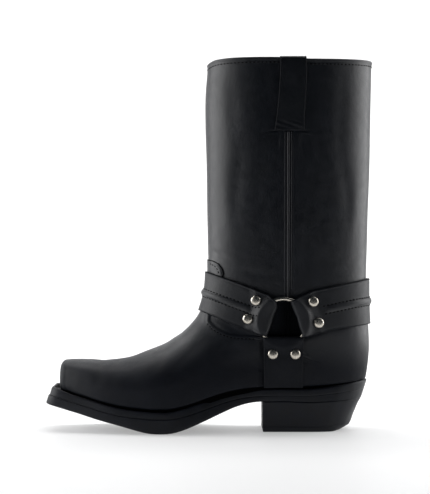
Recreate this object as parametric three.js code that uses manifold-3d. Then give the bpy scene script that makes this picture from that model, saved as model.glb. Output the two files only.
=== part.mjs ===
// Black harness boot with a squared toe, a left boot seen from its outer side.
// Millimetres. The toe points to -X, the heel to +X, the outer side to -Y, and +Z is up.
import * as THREE from 'three';
import { mergeVertices } from 'three/addons/utils/BufferGeometryUtils.js';
import Module from 'manifold-3d';

const wasm = await Module();
wasm.setup();

// Driving sizes of the sole
const soleLength = 307.5;
const ballWidth = 106;
const toeSpring = 25.5;
const heelHeight = 27.5;
const liftThickness = 5;
const outsoleThickness = 11.5;
const weltHeight = 6.5;
const weltLedge = 3.4;
const weltLipWidth = 2.2;
const weltInset = 1;
const weltReach = 7;
const insoleThickness = 4;
const soleLean = 1.25;

// Driving sizes of the upper
const instepHeight = 90;
const shaftHeight = 351.6;
const shaftLength = 160;
const shaftWidth = 90;
const collarOverhang = 5.7;
const collarDip = 4.6;
const wall = 2.4;
const overlay = 1.2;
const lastSink = 5;
const footingMargin = 2;

// Driving sizes of the trim
const strapThickness = 1.9;
const trimThickness = 2.1;
const trimWidth = 7.5;
const ringRadius = 22;
const ringWire = 3.7;
const rivetRadius = 4.9;
const rivetHeight = 2.4;
const pullWidth = 25;
const pullThickness = 1.7;
const pullLength = 68;
const pullRise = 2.4;
const pipingWidth = 2.6;
const pipingHeight = 1.3;
const bindingDepth = 5;
const bindingThickness = 1;
const fit = 0.3;

const edgeRound = 1.2;

const toeX = -(soleLength + collarOverhang) / 2;
const backX = toeX + soleLength + collarOverhang;
const soleX = (share) => toeX + share * soleLength;

// The sole along its length: s is the share of the sole's length, toe and heel are the parts of the toe
// spring and the heel height that lift the bottom, thick is the share of the outsole's thickness, outer and
// inner are the edge's distances from the middle as shares of the ball width, and reach is the share of the
// welt's reach outside the upper.
const soleColumns = ['s', 'toe', 'heel', 'thick', 'outer', 'inner', 'reach'];
const soleTable = [
  [0.000, 1.00, 0, 0.74, 0.146, 0.250, 1],
  [0.006, 0.98, 0, 0.73, 0.186, 0.288, 1],
  [0.020, 0.94, 0, 0.72, 0.222, 0.322, 1],
  [0.050, 0.85, 0, 0.70, 0.258, 0.354, 1],
  [0.100, 0.70, 0, 0.69, 0.313, 0.388, 0.97],
  [0.165, 0.48, 0, 0.70, 0.388, 0.430, 0.93],
  [0.230, 0.30, 0, 0.74, 0.448, 0.472, 0.88],
  [0.290, 0.11, 0, 0.92, 0.488, 0.498, 0.85],
  [0.330, 0, 0, 0.98, 0.498, 0.500, 0.84],
  [0.385, 0, 0, 1.00, 0.499, 0.483, 0.80],
  [0.430, 0, 0.135, 0.92, 0.480, 0.448, 0.74],
  [0.480, 0, 0.325, 0.77, 0.442, 0.388, 0.66],
  [0.530, 0, 0.535, 0.70, 0.394, 0.330, 0.58],
  [0.573, 0, 0.755, 0.58, 0.360, 0.300, 0.52],
  [0.610, 0, 0.900, 0.49, 0.340, 0.288, 0.50],
  [0.650, 0, 0.985, 0.44, 0.328, 0.290, 0.48],
  [0.680, 0, 1.000, 0.43, 0.325, 0.295, 0.46],
  [0.760, 0, 1.020, 0.44, 0.325, 0.314, 0.42],
  [0.840, 0, 1.050, 0.52, 0.329, 0.329, 0.42],
  [0.900, 0, 1.080, 0.60, 0.314, 0.318, 0.42],
  [0.945, 0, 1.105, 0.65, 0.268, 0.276, 0.42],
  [0.975, 0, 1.125, 0.68, 0.205, 0.214, 0.42],
  [0.993, 0, 1.135, 0.70, 0.122, 0.132, 0.42],
  [1.000, 0, 1.140, 0.70, 0.050, 0.060, 0.42],
];

// Sections of the foot, from the toe wall to the heel: front and back are the shares of the sole's length
// where a section meets the top and the bottom, rise is the top's height above the sole as a share of the
// instep's rise, side the half width and centre the middle as shares of the ball width, top and low say how
// square the two ends are, and tuck how far the section draws in towards the sole.
const footColumns = ['front', 'back', 'rise', 'side', 'centre', 'top', 'low', 'tuck'];
const footTable = [
  [0.0397, 0.0397, 0.300, 0.150, 0.062, 3.0, 6.0, 0.02],
  [0.0423, 0.0423, 0.350, 0.190, 0.060, 3.0, 6.0, 0.02],
  [0.0490, 0.0490, 0.386, 0.216, 0.057, 3.0, 6.0, 0.03],
  [0.0620, 0.0620, 0.415, 0.240, 0.053, 2.9, 6.0, 0.04],
  [0.0865, 0.0865, 0.439, 0.274, 0.046, 2.8, 6.0, 0.05],
  [0.1255, 0.1255, 0.472, 0.320, 0.036, 2.7, 6.0, 0.05],
  [0.1710, 0.1750, 0.503, 0.370, 0.026, 2.5, 6.0, 0.05],
  [0.2230, 0.2320, 0.546, 0.415, 0.016, 2.3, 6.0, 0.05],
  [0.2690, 0.2900, 0.604, 0.443, 0.008, 2.15, 6.0, 0.05],
  [0.3080, 0.3450, 0.678, 0.457, 0.001, 2.05, 5.8, 0.05],
  [0.3430, 0.4000, 0.734, 0.450, -0.006, 2.0, 5.5, 0.05],
  [0.3730, 0.4600, 0.778, 0.424, -0.014, 2.0, 5.2, 0.06],
  [0.3990, 0.5250, 0.826, 0.396, -0.018, 2.0, 5.0, 0.08],
  [0.4200, 0.5900, 0.863, 0.372, -0.016, 2.0, 4.8, 0.10],
  [0.4380, 0.6550, 0.907, 0.355, -0.010, 2.05, 4.6, 0.13],
  [0.4510, 0.7300, 0.949, 0.350, -0.003, 2.1, 4.4, 0.15],
  [0.4630, 0.8100, 0.991, 0.349, 0.001, 2.15, 4.2, 0.16],
  [0.4730, 0.8900, 1.040, 0.350, 0.002, 2.2, 3.8, 0.17],
];

// Sections of the counter and the shaft: ahead and behind are the distances from the back of the collar as
// shares of the shaft's length, up and rear the heights of the front end above the throat and of the back end
// above the heel seat as shares of what is left to the collar, and side the half width as a share of the
// shaft's width.
const shaftColumns = ['ahead', 'behind', 'up', 'rear', 'side', 'centre', 'top', 'low', 'tuck'];
const shaftTable = [
  [1.035, 0.0850, 0.023, -0.015, 0.412, 0.001, 2.2, 3.3, 0.14],
  [1.023, 0.0400, 0.050, 0.035, 0.413, 0.001, 2.2, 2.9, 0.07],
  [1.013, 0.0310, 0.081, 0.080, 0.415, 0, 2.2, 2.7, 0.03],
  [1.005, 0.0290, 0.118, 0.131, 0.420, 0, 2.2, 2.6, 0.01],
  [0.999, 0.0330, 0.160, 0.195, 0.425, 0, 2.2, 2.5, 0],
  [0.994, 0.0375, 0.205, 0.265, 0.429, 0, 2.2, 2.4, 0],
  [0.993, 0.0370, 0.263, 0.355, 0.434, 0, 2.2, 2.3, 0],
  [0.993, 0.0345, 0.330, 0.451, 0.441, 0, 2.2, 2.3, 0],
  [0.996, 0.0290, 0.433, 0.547, 0.451, 0, 2.2, 2.25, 0],
  [1.001, 0.0225, 0.579, 0.669, 0.468, 0, 2.2, 2.25, 0],
  [1.006, 0.0150, 0.745, 0.806, 0.485, 0, 2.2, 2.2, 0],
  [1.004, 0.0110, 0.890, 0.925, 0.494, 0, 2.2, 2.2, 0],
  [0.993, 0.0075, 0.981, 1.000, 0.495, 0, 2.2, 2.2, 0],
  [0.990, 0.0060, 1.060, 1.060, 0.495, 0, 2.2, 2.2, 0],
];

const rowsOf = (columns, table) =>
  table.map((row) => Object.fromEntries(columns.map((name, i) => [name, row[i]])));

const soleRows = rowsOf(soleColumns, soleTable);

// Value of one column of the sole at a share of its length, smooth and without overshoot
function soleAt(share, column) {
  const s = THREE.MathUtils.clamp(share, 0, 1);
  let i = 0;
  while (i < soleRows.length - 2 && s > soleRows[i + 1].s) i += 1;
  const slope = (k) => {
    if (k < 0 || k > soleRows.length - 2) return null;
    return (soleRows[k + 1][column] - soleRows[k][column]) / (soleRows[k + 1].s - soleRows[k].s);
  };
  const tangent = (before, after) => {
    if (before === null) return after;
    if (after === null) return before;
    return before * after <= 0 ? 0 : (2 * before * after) / (before + after);
  };
  const run = soleRows[i + 1].s - soleRows[i].s;
  const t = (s - soleRows[i].s) / run;
  const m0 = tangent(slope(i - 1), slope(i)) * run;
  const m1 = tangent(slope(i), slope(i + 1)) * run;
  const a = soleRows[i][column];
  const b = soleRows[i + 1][column];
  return (2 * t ** 3 - 3 * t ** 2 + 1) * a + (t ** 3 - 2 * t ** 2 + t) * m0
    + (3 * t ** 2 - 2 * t ** 3) * b + (t ** 3 - t ** 2) * m1;
}

const soleBottom = (s) => soleAt(s, 'toe') * toeSpring + soleAt(s, 'heel') * heelHeight;
const seatLine = (s) => soleBottom(s) + soleAt(s, 'thick') * outsoleThickness;

// A closed solid from a geometry, with its faces pointing out
function solidOf(geometry) {
  const plain = geometry.index ? geometry.clone() : mergeVertices(geometry);
  plain.deleteAttribute('normal');
  plain.deleteAttribute('uv');
  const merged = mergeVertices(plain, 1e-4);
  return new wasm.Manifold(new wasm.Mesh({
    numProp: 3,
    vertProperties: new Float32Array(merged.attributes.position.array),
    triVerts: new Uint32Array(merged.index.array),
  }));
}

// A closed solid through rings of equally many points, with a fan of triangles on each end
function loft(rings) {
  const count = rings[0].length;
  const points = rings.flat().map((p) => [p.x, p.y, p.z]);
  const faces = [];
  for (let r = 0; r < rings.length - 1; r += 1) {
    for (let i = 0; i < count; i += 1) {
      const a = r * count + i;
      const b = r * count + ((i + 1) % count);
      faces.push([a, b, b + count], [a, b + count, a + count]);
    }
  }
  const cap = (ring, offset, flipped) => {
    const middle = new THREE.Vector3();
    ring.forEach((p) => middle.addScaledVector(p, 1 / count));
    const centre = points.push([middle.x, middle.y, middle.z]) - 1;
    for (let i = 0; i < count; i += 1) {
      const a = offset + i;
      const b = offset + ((i + 1) % count);
      faces.push(flipped ? [centre, b, a] : [centre, a, b]);
    }
  };
  cap(rings[0], 0, true);
  cap(rings[rings.length - 1], (rings.length - 1) * count, false);
  const at = (i) => new THREE.Vector3(...points[i]);
  const volume = faces.reduce((sum, [a, b, c]) => sum + at(a).dot(at(b).cross(at(c))), 0);
  const turned = volume < 0 ? faces.map(([a, b, c]) => [a, c, b]) : faces;
  const geometry = new THREE.BufferGeometry();
  geometry.setAttribute('position', new THREE.Float32BufferAttribute(points.flat(), 3));
  geometry.setIndex(turned.flat());
  return solidOf(geometry);
}

// A solid with an outline drawn in the side view, as wide as asked across the boot
function sideCut(outline, from = -ballWidth, to = ballWidth) {
  const shape = new THREE.Shape(outline.map(([x, z]) => new THREE.Vector2(x, z)));
  const geometry = new THREE.ExtrudeGeometry(shape, { depth: to - from, bevelEnabled: false });
  geometry.rotateX(Math.PI / 2);
  geometry.translate(0, to, 0);
  return solidOf(geometry);
}

const thick = (s) => soleAt(s, 'thick') * outsoleThickness;
const above = (rise) => (s) => thick(s) + rise;
const fixed = (value) => () => value;

// Place on the sole in the side view, square to its bottom, at a height above it
function soleSpot(s, up) {
  const step = 0.004;
  const from = Math.max(0, s - step);
  const to = Math.min(1, s + step);
  const slope = (soleBottom(to) - soleBottom(from)) / ((to - from) * soleLength);
  return [soleX(s) - slope * soleLean * up, soleBottom(s) + up];
}

// One slab of the sole between two heights above its bottom, drawn in from the edge at each height
function soleSlab(profile) {
  const middle = toeX + soleLength / 2;
  const rings = soleRows.map(({ s }) => {
    const edge = (sign, column) => profile.map(([height, inset]) => {
      const [x, z] = soleSpot(s, height(s));
      const draw = inset(s);
      const reach = Math.max(soleAt(s, column) * ballWidth - draw, 1);
      const along = middle + (x - middle) * (1 - draw / (soleLength / 2));
      return new THREE.Vector3(along, sign * reach, z);
    });
    return [...edge(-1, 'outer'), ...edge(1, 'inner').reverse()];
  });
  return loft(rings);
}

// Everything over a level of the sole, a height above its bottom, right across the boot
function overLevel(height) {
  const line = soleRows.map(({ s }) => soleSpot(s, height(s)));
  const first = line[0];
  const last = line[line.length - 1];
  const far = ballWidth;
  return sideCut([
    [first[0] - far, first[1]],
    ...line,
    [last[0] + far, last[1]],
    [last[0] + far, shaftHeight + far],
    [first[0] - far, shaftHeight + far],
  ], -2 * ballWidth, 2 * ballWidth);
}

const footing = (s) => soleAt(s, 'reach') * weltReach + wall + footingMargin;

// How far a slab reaches beyond the level where it is cut off
const deep = weltHeight / 2;

const outsole = soleSlab([
  [fixed(0), fixed(edgeRound)],
  [fixed(edgeRound), fixed(0)],
  [(s) => thick(s) * 0.78, fixed(0)],
  [above(0), fixed(edgeRound / 2)],
  [above(deep), fixed(edgeRound / 2)],
]).subtract(overLevel(above(0)));

const weltPlate = soleSlab([
  [above(-deep), fixed(weltInset)],
  [above(weltHeight - edgeRound), fixed(weltInset)],
  [above(weltHeight), fixed(weltInset + edgeRound / 2)],
]).intersect(overLevel(above(fit)));
const weltGroove = soleSlab([
  [above(-deep), fixed(weltInset + weltLipWidth)],
  [above(weltHeight * 2), fixed(weltInset + weltLipWidth)],
]).intersect(overLevel(above(weltLedge)));

// The heel leans in towards the floor: share of the heel's height, share of the length from the breast to the
// back, and share of the seat's width.
const heelTaper = [
  [0, 0.812, 0.90],
  [0.22, 0.842, 0.91],
  [0.58, 0.882, 0.935],
  [0.92, 0.930, 0.965],
  [1.3, 0.985, 1],
];
const breastShare = 0.6725;
const heelStations = [breastShare, 0.72, 0.78, 0.84, 0.9, 0.945, 0.975, 0.993, 1];

function heelRing(z) {
  const share = z / heelHeight;
  let i = 0;
  while (i < heelTaper.length - 2 && share > heelTaper[i + 1][0]) i += 1;
  const t = (share - heelTaper[i][0]) / (heelTaper[i + 1][0] - heelTaper[i][0]);
  const length = THREE.MathUtils.lerp(heelTaper[i][1], heelTaper[i + 1][1], t);
  const width = THREE.MathUtils.lerp(heelTaper[i][2], heelTaper[i + 1][2], t);
  const breast = soleX(breastShare);
  const edge = (sign, column) => heelStations.map((s) => new THREE.Vector3(
    breast + (soleX(s) - breast) * length,
    sign * soleAt(s, column) * ballWidth * width,
    z,
  ));
  return [...edge(-1, 'outer'), ...edge(1, 'inner').reverse()];
}

const bottomLine = (drop) => {
  const line = soleRows.filter(({ s }) => s > 0.55).map(({ s }) => [soleX(s), soleBottom(s) - drop]);
  const [firstX] = line[0];
  const [lastX, lastZ] = line[line.length - 1];
  const beyond = lastX + ballWidth;
  return [...line, [beyond, lastZ], [beyond, shaftHeight], [firstX, shaftHeight]];
};
const heelTop = heelHeight * 1.25;
const heelLevels = [liftThickness + fit, heelHeight * 0.58, heelHeight * 0.92, heelTop];
const heel = loft(heelLevels.map(heelRing)).subtract(sideCut(bottomLine(fit)));
const topLift = loft([0, liftThickness].map(heelRing));

// The upper's own function: sections from the toe wall to above the collar
const around = 24;
const footRows = rowsOf(footColumns, footTable);
const throatRow = footRows[footRows.length - 1];
const throat = seatLine(throatRow.front) + throatRow.rise * instepHeight;
const heelSeatShare = 0.95;
const heelSeat = seatLine(heelSeatShare);
const sections = [
  ...footRows.map((row) => ({
    front: [soleX(row.front), seatLine(row.front) + row.rise * instepHeight],
    back: [soleX(row.back), seatLine(row.back) - lastSink],
    half: row.side * ballWidth,
    middle: row.centre * ballWidth,
    top: row.top,
    low: row.low,
    tuck: row.tuck,
  })),
  ...rowsOf(shaftColumns, shaftTable).map((row) => ({
    front: [backX - row.ahead * shaftLength, throat + row.up * (shaftHeight - throat)],
    back: [backX - row.behind * shaftLength, heelSeat + row.rear * (shaftHeight - heelSeat)],
    half: row.side * shaftWidth,
    middle: row.centre * ballWidth,
    top: row.top,
    low: row.low,
    tuck: row.tuck,
  })),
];

function sectionRing({ front, back, half, middle, top, low, tuck }) {
  return Array.from({ length: around }, (_, i) => {
    const angle = (i / around) * 2 * Math.PI;
    const power = 2 / (Math.cos(angle) >= 0 ? top : low);
    const a = Math.sign(Math.cos(angle)) * Math.abs(Math.cos(angle)) ** power;
    const b = Math.sign(Math.sin(angle)) * Math.abs(Math.sin(angle)) ** power;
    const draw = a < 0 ? 1 - tuck * a * a : 1;
    return new THREE.Vector3(
      THREE.MathUtils.lerp(back[0], front[0], (a + 1) / 2),
      middle + b * half * draw,
      THREE.MathUtils.lerp(back[1], front[1], (a + 1) / 2),
    );
  });
}

const lastRings = sections.map(sectionRing);

// Outward direction at each point of the upper; the first section also faces the toe
const outward = lastRings.map((ring, r) => ring.map((_, i) => {
  const next = ring[(i + 1) % around];
  const last = ring[(i + around - 1) % around];
  const ahead = lastRings[Math.min(r + 1, lastRings.length - 1)][i];
  const behind = lastRings[Math.max(r - 1, 0)][i];
  const along = r === 0 ? new THREE.Vector3(1, 0, 0) : ahead.clone().sub(behind);
  const normal = along.cross(next.clone().sub(last)).normalize();
  return r === 0 ? normal.add(new THREE.Vector3(-1, 0, 0)) : normal;
}));

// The upper's form, larger or smaller by an even distance
const forms = new Map();
function form(distance) {
  if (!forms.has(distance)) {
    const rings = lastRings.map((ring, r) =>
      ring.map((p, i) => p.clone().addScaledVector(outward[r][i], distance)));
    forms.set(distance, loft(rings));
  }
  return forms.get(distance);
}
const shell = (from, to) => form(to).subtract(form(from));

// Welt: a strip with a raised lip, clear of the upper that stands on it
const weltOpening = soleSlab([
  [above(-weltHeight), footing],
  [above(weltHeight * 2), footing],
]);
const welt = weltPlate
  .subtract(weltGroove)
  .subtract(weltOpening)
  .subtract(form(overlay + fit).intersect(overLevel(above(weltLedge))));

// Insole, inside the welt's opening and the upper's wall
const insole = soleSlab([
  [above(-deep), (s) => footing(s) + fit],
  [above(insoleThickness + deep), (s) => footing(s) + fit],
])
  .intersect(form(-wall - fit))
  .intersect(overLevel(above(fit)))
  .subtract(overLevel(above(fit + insoleThickness)));

// The collar's rim in the side view: ahead is the distance from the back as a share of the shaft's length, and
// dip the share of the collar's dip
const collarColumns = ['ahead', 'dip'];
const collarTable = [
  [1, 1],
  [0.94, 0.33],
  [0.84, 0],
  [0.38, 0.3],
  [0, 0],
];

// Everything over the rim, moved down by a drop, right across the boot
function overCollar(drop) {
  const rim = rowsOf(collarColumns, collarTable).map(({ ahead, dip }) =>
    [backX - ahead * shaftLength, shaftHeight - dip * collarDip - drop]);
  const beyond = backX + ballWidth;
  const high = shaftHeight + ballWidth;
  return sideCut([[toeX, rim[0][1]], ...rim, [beyond, shaftHeight - drop], [beyond, high], [toeX, high]]);
}

// Where the ring of the harness hangs, over the middle of the ankle
const ringX = soleX(0.734);
const ringZ = heelHeight + 0.832 * instepHeight;
const foldRadius = ringRadius * 0.923;
const ringPoint = (degrees, radius = foldRadius) => [
  ringX + radius * Math.cos(THREE.MathUtils.degToRad(degrees)),
  ringZ + radius * Math.sin(THREE.MathUtils.degToRad(degrees)),
];
const byRing = (dx, dz) => [ringX + dx * ringRadius, ringZ + dz * ringRadius];

// Upper: vamp with its tongue and the heel counter are steps in the wall
const vampOutline = [
  [toeX, 0],
  byRing(-0.95, -3),
  byRing(-0.95, -0.61),
  byRing(-1.82, -0.6),
  byRing(-2.30, -0.55),
  byRing(-2.62, -0.43),
  byRing(-2.94, -0.25),
  byRing(-3.16, 0),
  byRing(-3.10, 0.7),
  byRing(-2.80, 1.45),
  byRing(-2.57, 1.96),
  byRing(-2.66, 2.31),
  byRing(-2.92, 2.58),
  byRing(-3.6, 2.68),
  [toeX, ringZ + 2.68 * ringRadius],
];
const counterOutline = [
  byRing(0.6, -3.4),
  byRing(5, -3.4),
  byRing(5, 0.35),
  byRing(3.2, 0.35),
  byRing(1.9, -0.1),
  byRing(0.6, -0.8),
];
const overlays = form(overlay).intersect(sideCut(vampOutline).add(sideCut(counterOutline)));
const overLedge = overLevel(above(weltLedge + fit));
const upper = form(0)
  .add(overlays)
  .subtract(form(-wall))
  .intersect(overLedge)
  .subtract(overCollar(0));

// Collar binding, folded over the rim
const bindingOuter = fit + bindingThickness;
const collarBand = overCollar(bindingDepth).subtract(overCollar(-bindingOuter));
const collarBinding = shell(-wall - bindingOuter, bindingOuter)
  .intersect(collarBand)
  .subtract(shell(-wall - fit, fit).subtract(overCollar(-fit)));

// Straps lie on the upper's steps; the ends fold round the ring and lie on the strap again
const strapIn = overlay + fit;
const strapOut = strapIn + strapThickness;
const foldOut = strapOut + strapThickness;
const torus = (x, y, z, tube) => {
  const geometry = new THREE.TorusGeometry(ringRadius, tube, 6, 22);
  geometry.rotateX(Math.PI / 2);
  geometry.translate(x, y, z);
  return solidOf(geometry);
};

const lookAcross = (side) => new THREE.Vector3(0, -side, 0);
const lastMesh = new THREE.Mesh(geometryOf(form(foldOut)), new THREE.MeshBasicMaterial());
lastMesh.geometry.computeBoundingSphere();

// Point and outward direction on the upper's form, seen from one side
function faceAt([x, z], side, distance) {
  lastMesh.geometry = geometryOf(form(distance));
  const ray = new THREE.Raycaster(new THREE.Vector3(x, side * ballWidth, z), lookAcross(side));
  const hit = ray.intersectObject(lastMesh)[0];
  return { point: hit.point, normal: hit.face.normal };
}

function geometryOf(solid) {
  const mesh = solid.getMesh();
  const geometry = new THREE.BufferGeometry();
  geometry.setAttribute('position', new THREE.BufferAttribute(mesh.vertProperties, 3));
  geometry.setIndex(new THREE.BufferAttribute(mesh.triVerts, 1));
  geometry.computeVertexNormals();
  return geometry;
}

const sides = { outer: -1, inner: 1 };
const halfSpace = (outline, side) => (side < 0
  ? sideCut(outline, -ballWidth, -ballWidth * 0.08)
  : sideCut(outline, ballWidth * 0.08, ballWidth));

const ringDepth = {};
for (const [name, side] of Object.entries(sides)) {
  const seat = faceAt([ringX, ringZ], side, strapOut);
  ringDepth[name] = seat.point.y + side * (fit + ringWire / 2);
}
const bothRings = (tube) => torus(ringX, ringDepth.outer, ringZ, tube)
  .add(torus(ringX, ringDepth.inner, ringZ, tube));
const ringRoom = bothRings(ringWire / 2 + fit);
const ringSleeve = bothRings(ringWire / 2 + fit + strapThickness);

// The sector of the ring that a strap holds, as a wedge in the side view
const wedge = (from, to) => sideCut([
  [ringX, ringZ],
  ringPoint(from, ringRadius * 1.5),
  ringPoint((from * 2 + to) / 3, ringRadius * 1.5),
  ringPoint((from + to * 2) / 3, ringRadius * 1.5),
  ringPoint(to, ringRadius * 1.5),
]);

function harnessStrap(outline, fold, from, to) {
  const inside = form(strapIn);
  return shell(strapIn, strapOut).intersect(sideCut(outline))
    .add(shell(strapIn, foldOut).intersect(sideCut(fold)))
    .add(ringSleeve.intersect(wedge(from, to)).subtract(inside))
    .subtract(ringRoom);
}

const strapFront = harnessStrap(
  [byRing(-3.9, 2.38), byRing(-3.16, 2.12), byRing(-1.34, 1.45), byRing(-0.6, 1.16), ringPoint(112),
    ringPoint(209), byRing(-1.01, -0.63), byRing(-2.16, -0.21), byRing(-2.87, 0.07), byRing(-3.64, 0.37),
    byRing(-4.2, 0.58)],
  [byRing(-1.62, 1.55), byRing(-0.6, 1.16), ringPoint(112), ringPoint(209), byRing(-1.01, -0.63),
    byRing(-1.8, -0.34)],
  112,
  209,
);
const strapBack = harnessStrap(
  [byRing(0.66, 1.07), byRing(1.26, 1.34), byRing(2.05, 1.50), byRing(3.73, 1.85), byRing(4.4, 1.99),
    byRing(4.4, 0.07), byRing(3.84, -0.03), byRing(2.61, -0.23), byRing(1.78, -0.43), byRing(0.9, -0.65),
    ringPoint(-31), ringPoint(68)],
  [byRing(0.66, 1.07), byRing(1.26, 1.34), byRing(1.72, 1.43), byRing(1.62, -0.47), byRing(0.9, -0.65),
    ringPoint(-31), ringPoint(68)],
  -31,
  68,
);

function sideStrap(side) {
  const half = 0.835;
  const strap = [byRing(-half, -0.61), byRing(-half, -3.4), byRing(half, -3.4), byRing(half, -0.61)];
  const fold = [byRing(-half, -0.61), byRing(-half, -1.75), byRing(half, -1.75), byRing(half, -0.61)];
  return shell(strapIn, strapOut).intersect(halfSpace(strap, side))
    .add(shell(strapIn, foldOut).intersect(halfSpace(fold, side)))
    .add(ringSleeve.intersect(wedge(221, 319)).intersect(halfSpace([byRing(-half, 0), byRing(-half, -2),
      byRing(half, -2), byRing(half, 0)], side)).subtract(form(strapIn)))
    .subtract(ringRoom)
    .intersect(overLevel(above(weltHeight + fit)));
}

// Narrow raised strips along the middle of the two wide straps
const strip = (from, to) => {
  const across = new THREE.Vector2(from[1] - to[1], to[0] - from[0]).setLength(trimWidth / 2);
  return sideCut([
    [from[0] + across.x, from[1] + across.y],
    [from[0] - across.x, from[1] - across.y],
    [to[0] - across.x, to[1] - across.y],
    [to[0] + across.x, to[1] + across.y],
  ]);
};
const trimShell = shell(strapOut + fit, strapOut + fit + trimThickness);
const trimOnFold = shell(foldOut + fit, foldOut + fit + trimThickness);
const trimFront = trimShell.intersect(strip(byRing(-4, 1.46), byRing(-1.86, 0.69)))
  .add(trimOnFold.intersect(strip(byRing(-1.94, 0.72), byRing(-1.32, 0.51))));
const trimBack = trimShell.intersect(strip(byRing(4.4, 0.95), byRing(1.8, 0.53)));

// Pull strap: sewn outside, over the collar and down inside
function pullStrap(side) {
  const left = ringX + 0.075 * shaftWidth - pullWidth / 2;
  const column = (low, high) => halfSpace([
    [left, low],
    [left + pullWidth, low],
    [left + pullWidth, high],
    [left, high],
  ], side);
  const foot = shaftHeight - pullLength;
  const step = shaftHeight - bindingDepth * 1.5;
  const over = shaftHeight + pullRise;
  const clear = bindingOuter + fit;
  const reach = clear + pullThickness;
  return shell(fit, fit + pullThickness).intersect(column(foot, step))
    .add(shell(-wall - fit - pullThickness, -wall - fit).intersect(column(foot + pullThickness, step)))
    .add(shell(-wall - reach, reach).intersect(column(step - pullThickness, over))
      .subtract(shell(-wall - clear, clear).intersect(column(foot, shaftHeight + bindingOuter))));
}

// Piping along the side seam, from under the pull strap to the ring
function piping(side) {
  const x = ringX + 0.058 * shaftWidth;
  const high = shaftHeight - pullLength - fit;
  const low = ringZ + ringRadius - ringWire * 0.5;
  return shell(fit, fit + pipingHeight).intersect(halfSpace([
    [x - pipingWidth / 2, low],
    [x + pipingWidth / 2, low],
    [x + pipingWidth / 2, high],
    [x - pipingWidth / 2, high],
  ], side));
}

// Domed rivet caps, seen from the side, on the folded ends of the straps
const rivetSpots = [[-1.13, 0.93], [-1.47, 0.13], [1.25, 0.88], [1.48, -0.02], [-0.45, -1.36], [0.50, -1.36]];
const rivetProfile = [
  [0, 0], [0.92, 0], [1, 0.18], [0.86, 0.62], [0.5, 0.92], [0, 1],
].map(([r, h]) => new THREE.Vector2(r * rivetRadius, h * rivetHeight));

const leather = (color, roughness) => new THREE.MeshStandardMaterial({ color, roughness, metalness: 0 });
const materials = {
  upper: leather(0x1b1b1d, 0.42),
  strap: leather(0x161618, 0.45),
  binding: leather(0x151517, 0.5),
  welt: leather(0x17171a, 0.55),
  rubber: leather(0x131315, 0.6),
  insole: leather(0x6b5138, 0.8),
  nickel: new THREE.MeshStandardMaterial({ color: 0xb8b2a4, roughness: 0.25, metalness: 1 }),
};

const boot = new THREE.Group();

function addPiece(name, geometry, material) {
  const mesh = new THREE.Mesh(geometry, material);
  mesh.name = name;
  boot.add(mesh);
  return mesh;
}
const addSolid = (name, solid, material) => addPiece(name, geometryOf(solid), material);

addSolid('upper', upper, materials.upper);
addSolid('insole', insole, materials.insole);
addSolid('welt', welt, materials.welt);
addSolid('outsole', outsole, materials.rubber);
addSolid('heel', heel, materials.rubber);
addSolid('heel_top_lift', topLift, materials.rubber);
addSolid('collar_binding', collarBinding, materials.binding);
addSolid('strap_front', strapFront, materials.strap);
addSolid('strap_back', strapBack, materials.strap);
addSolid('strap_trim_front', trimFront, materials.strap);
addSolid('strap_trim_back', trimBack, materials.strap);
for (const [name, side] of Object.entries(sides)) {
  addSolid(`side_strap_${name}`, sideStrap(side), materials.strap);
  addSolid(`pull_strap_${name}`, pullStrap(side), materials.strap);
  addSolid(`seam_piping_${name}`, piping(side), materials.binding);
  addSolid(`ring_${name}`, torus(ringX, ringDepth[name], ringZ, ringWire / 2), materials.nickel);
  rivetSpots.forEach(([dx, dz], i) => {
    const seat = faceAt(byRing(dx, dz), side, foldOut);
    const cap = addPiece(`rivet_${name}_${i + 1}`, new THREE.LatheGeometry(rivetProfile, 8), materials.nickel);
    cap.position.copy(seat.point).addScaledVector(seat.normal, fit);
    cap.quaternion.setFromUnitVectors(new THREE.Vector3(0, 1, 0), seat.normal);
  });
}

// The origin is the middle of the boot's box, on the floor
const box = new THREE.Box3().setFromObject(boot);
boot.position.set(-(box.min.x + box.max.x) / 2, -(box.min.y + box.max.y) / 2, -box.min.z);

export default boot;
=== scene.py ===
"""Black harness boot with a squared toe: the looks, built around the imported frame.

Sizes are millimetres in the boot's own frame (toe -X, heel +X, outer side -Y, +Z up) and become metres when
a mesh is made.
"""

import math

import bmesh
import bpy
import numpy as np
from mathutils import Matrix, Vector


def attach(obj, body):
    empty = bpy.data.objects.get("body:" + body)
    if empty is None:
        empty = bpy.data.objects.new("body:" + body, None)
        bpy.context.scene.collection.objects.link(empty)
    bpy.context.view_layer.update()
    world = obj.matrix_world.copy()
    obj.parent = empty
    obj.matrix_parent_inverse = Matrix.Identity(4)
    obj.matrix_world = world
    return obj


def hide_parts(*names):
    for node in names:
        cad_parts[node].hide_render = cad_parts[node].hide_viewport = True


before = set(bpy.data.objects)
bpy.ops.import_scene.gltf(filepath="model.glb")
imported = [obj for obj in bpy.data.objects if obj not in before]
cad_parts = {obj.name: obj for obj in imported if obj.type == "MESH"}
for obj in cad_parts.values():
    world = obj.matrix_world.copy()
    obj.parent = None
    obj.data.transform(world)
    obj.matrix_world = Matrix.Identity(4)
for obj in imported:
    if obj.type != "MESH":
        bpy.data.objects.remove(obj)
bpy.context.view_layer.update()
MM = 0.001

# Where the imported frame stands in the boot's own frame
FRAME_SHIFT = (0.27, 0.053, 0.0)

# Sizes of the sole
SOLE_LENGTH = 307.5
BALL_WIDTH = 106.0
TOE_SPRING = 25.5
HEEL_HEIGHT = 27.5
LIFT_THICKNESS = 5.0
OUTSOLE_THICKNESS = 11.5
WELT_HEIGHT = 6.5
WELT_LEDGE = 3.4
WELT_LIP = 2.2
WELT_INSET = 1.0
WELT_REACH = 7.0
INSOLE_THICKNESS = 4.0
SOLE_LEAN = 1.25

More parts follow.
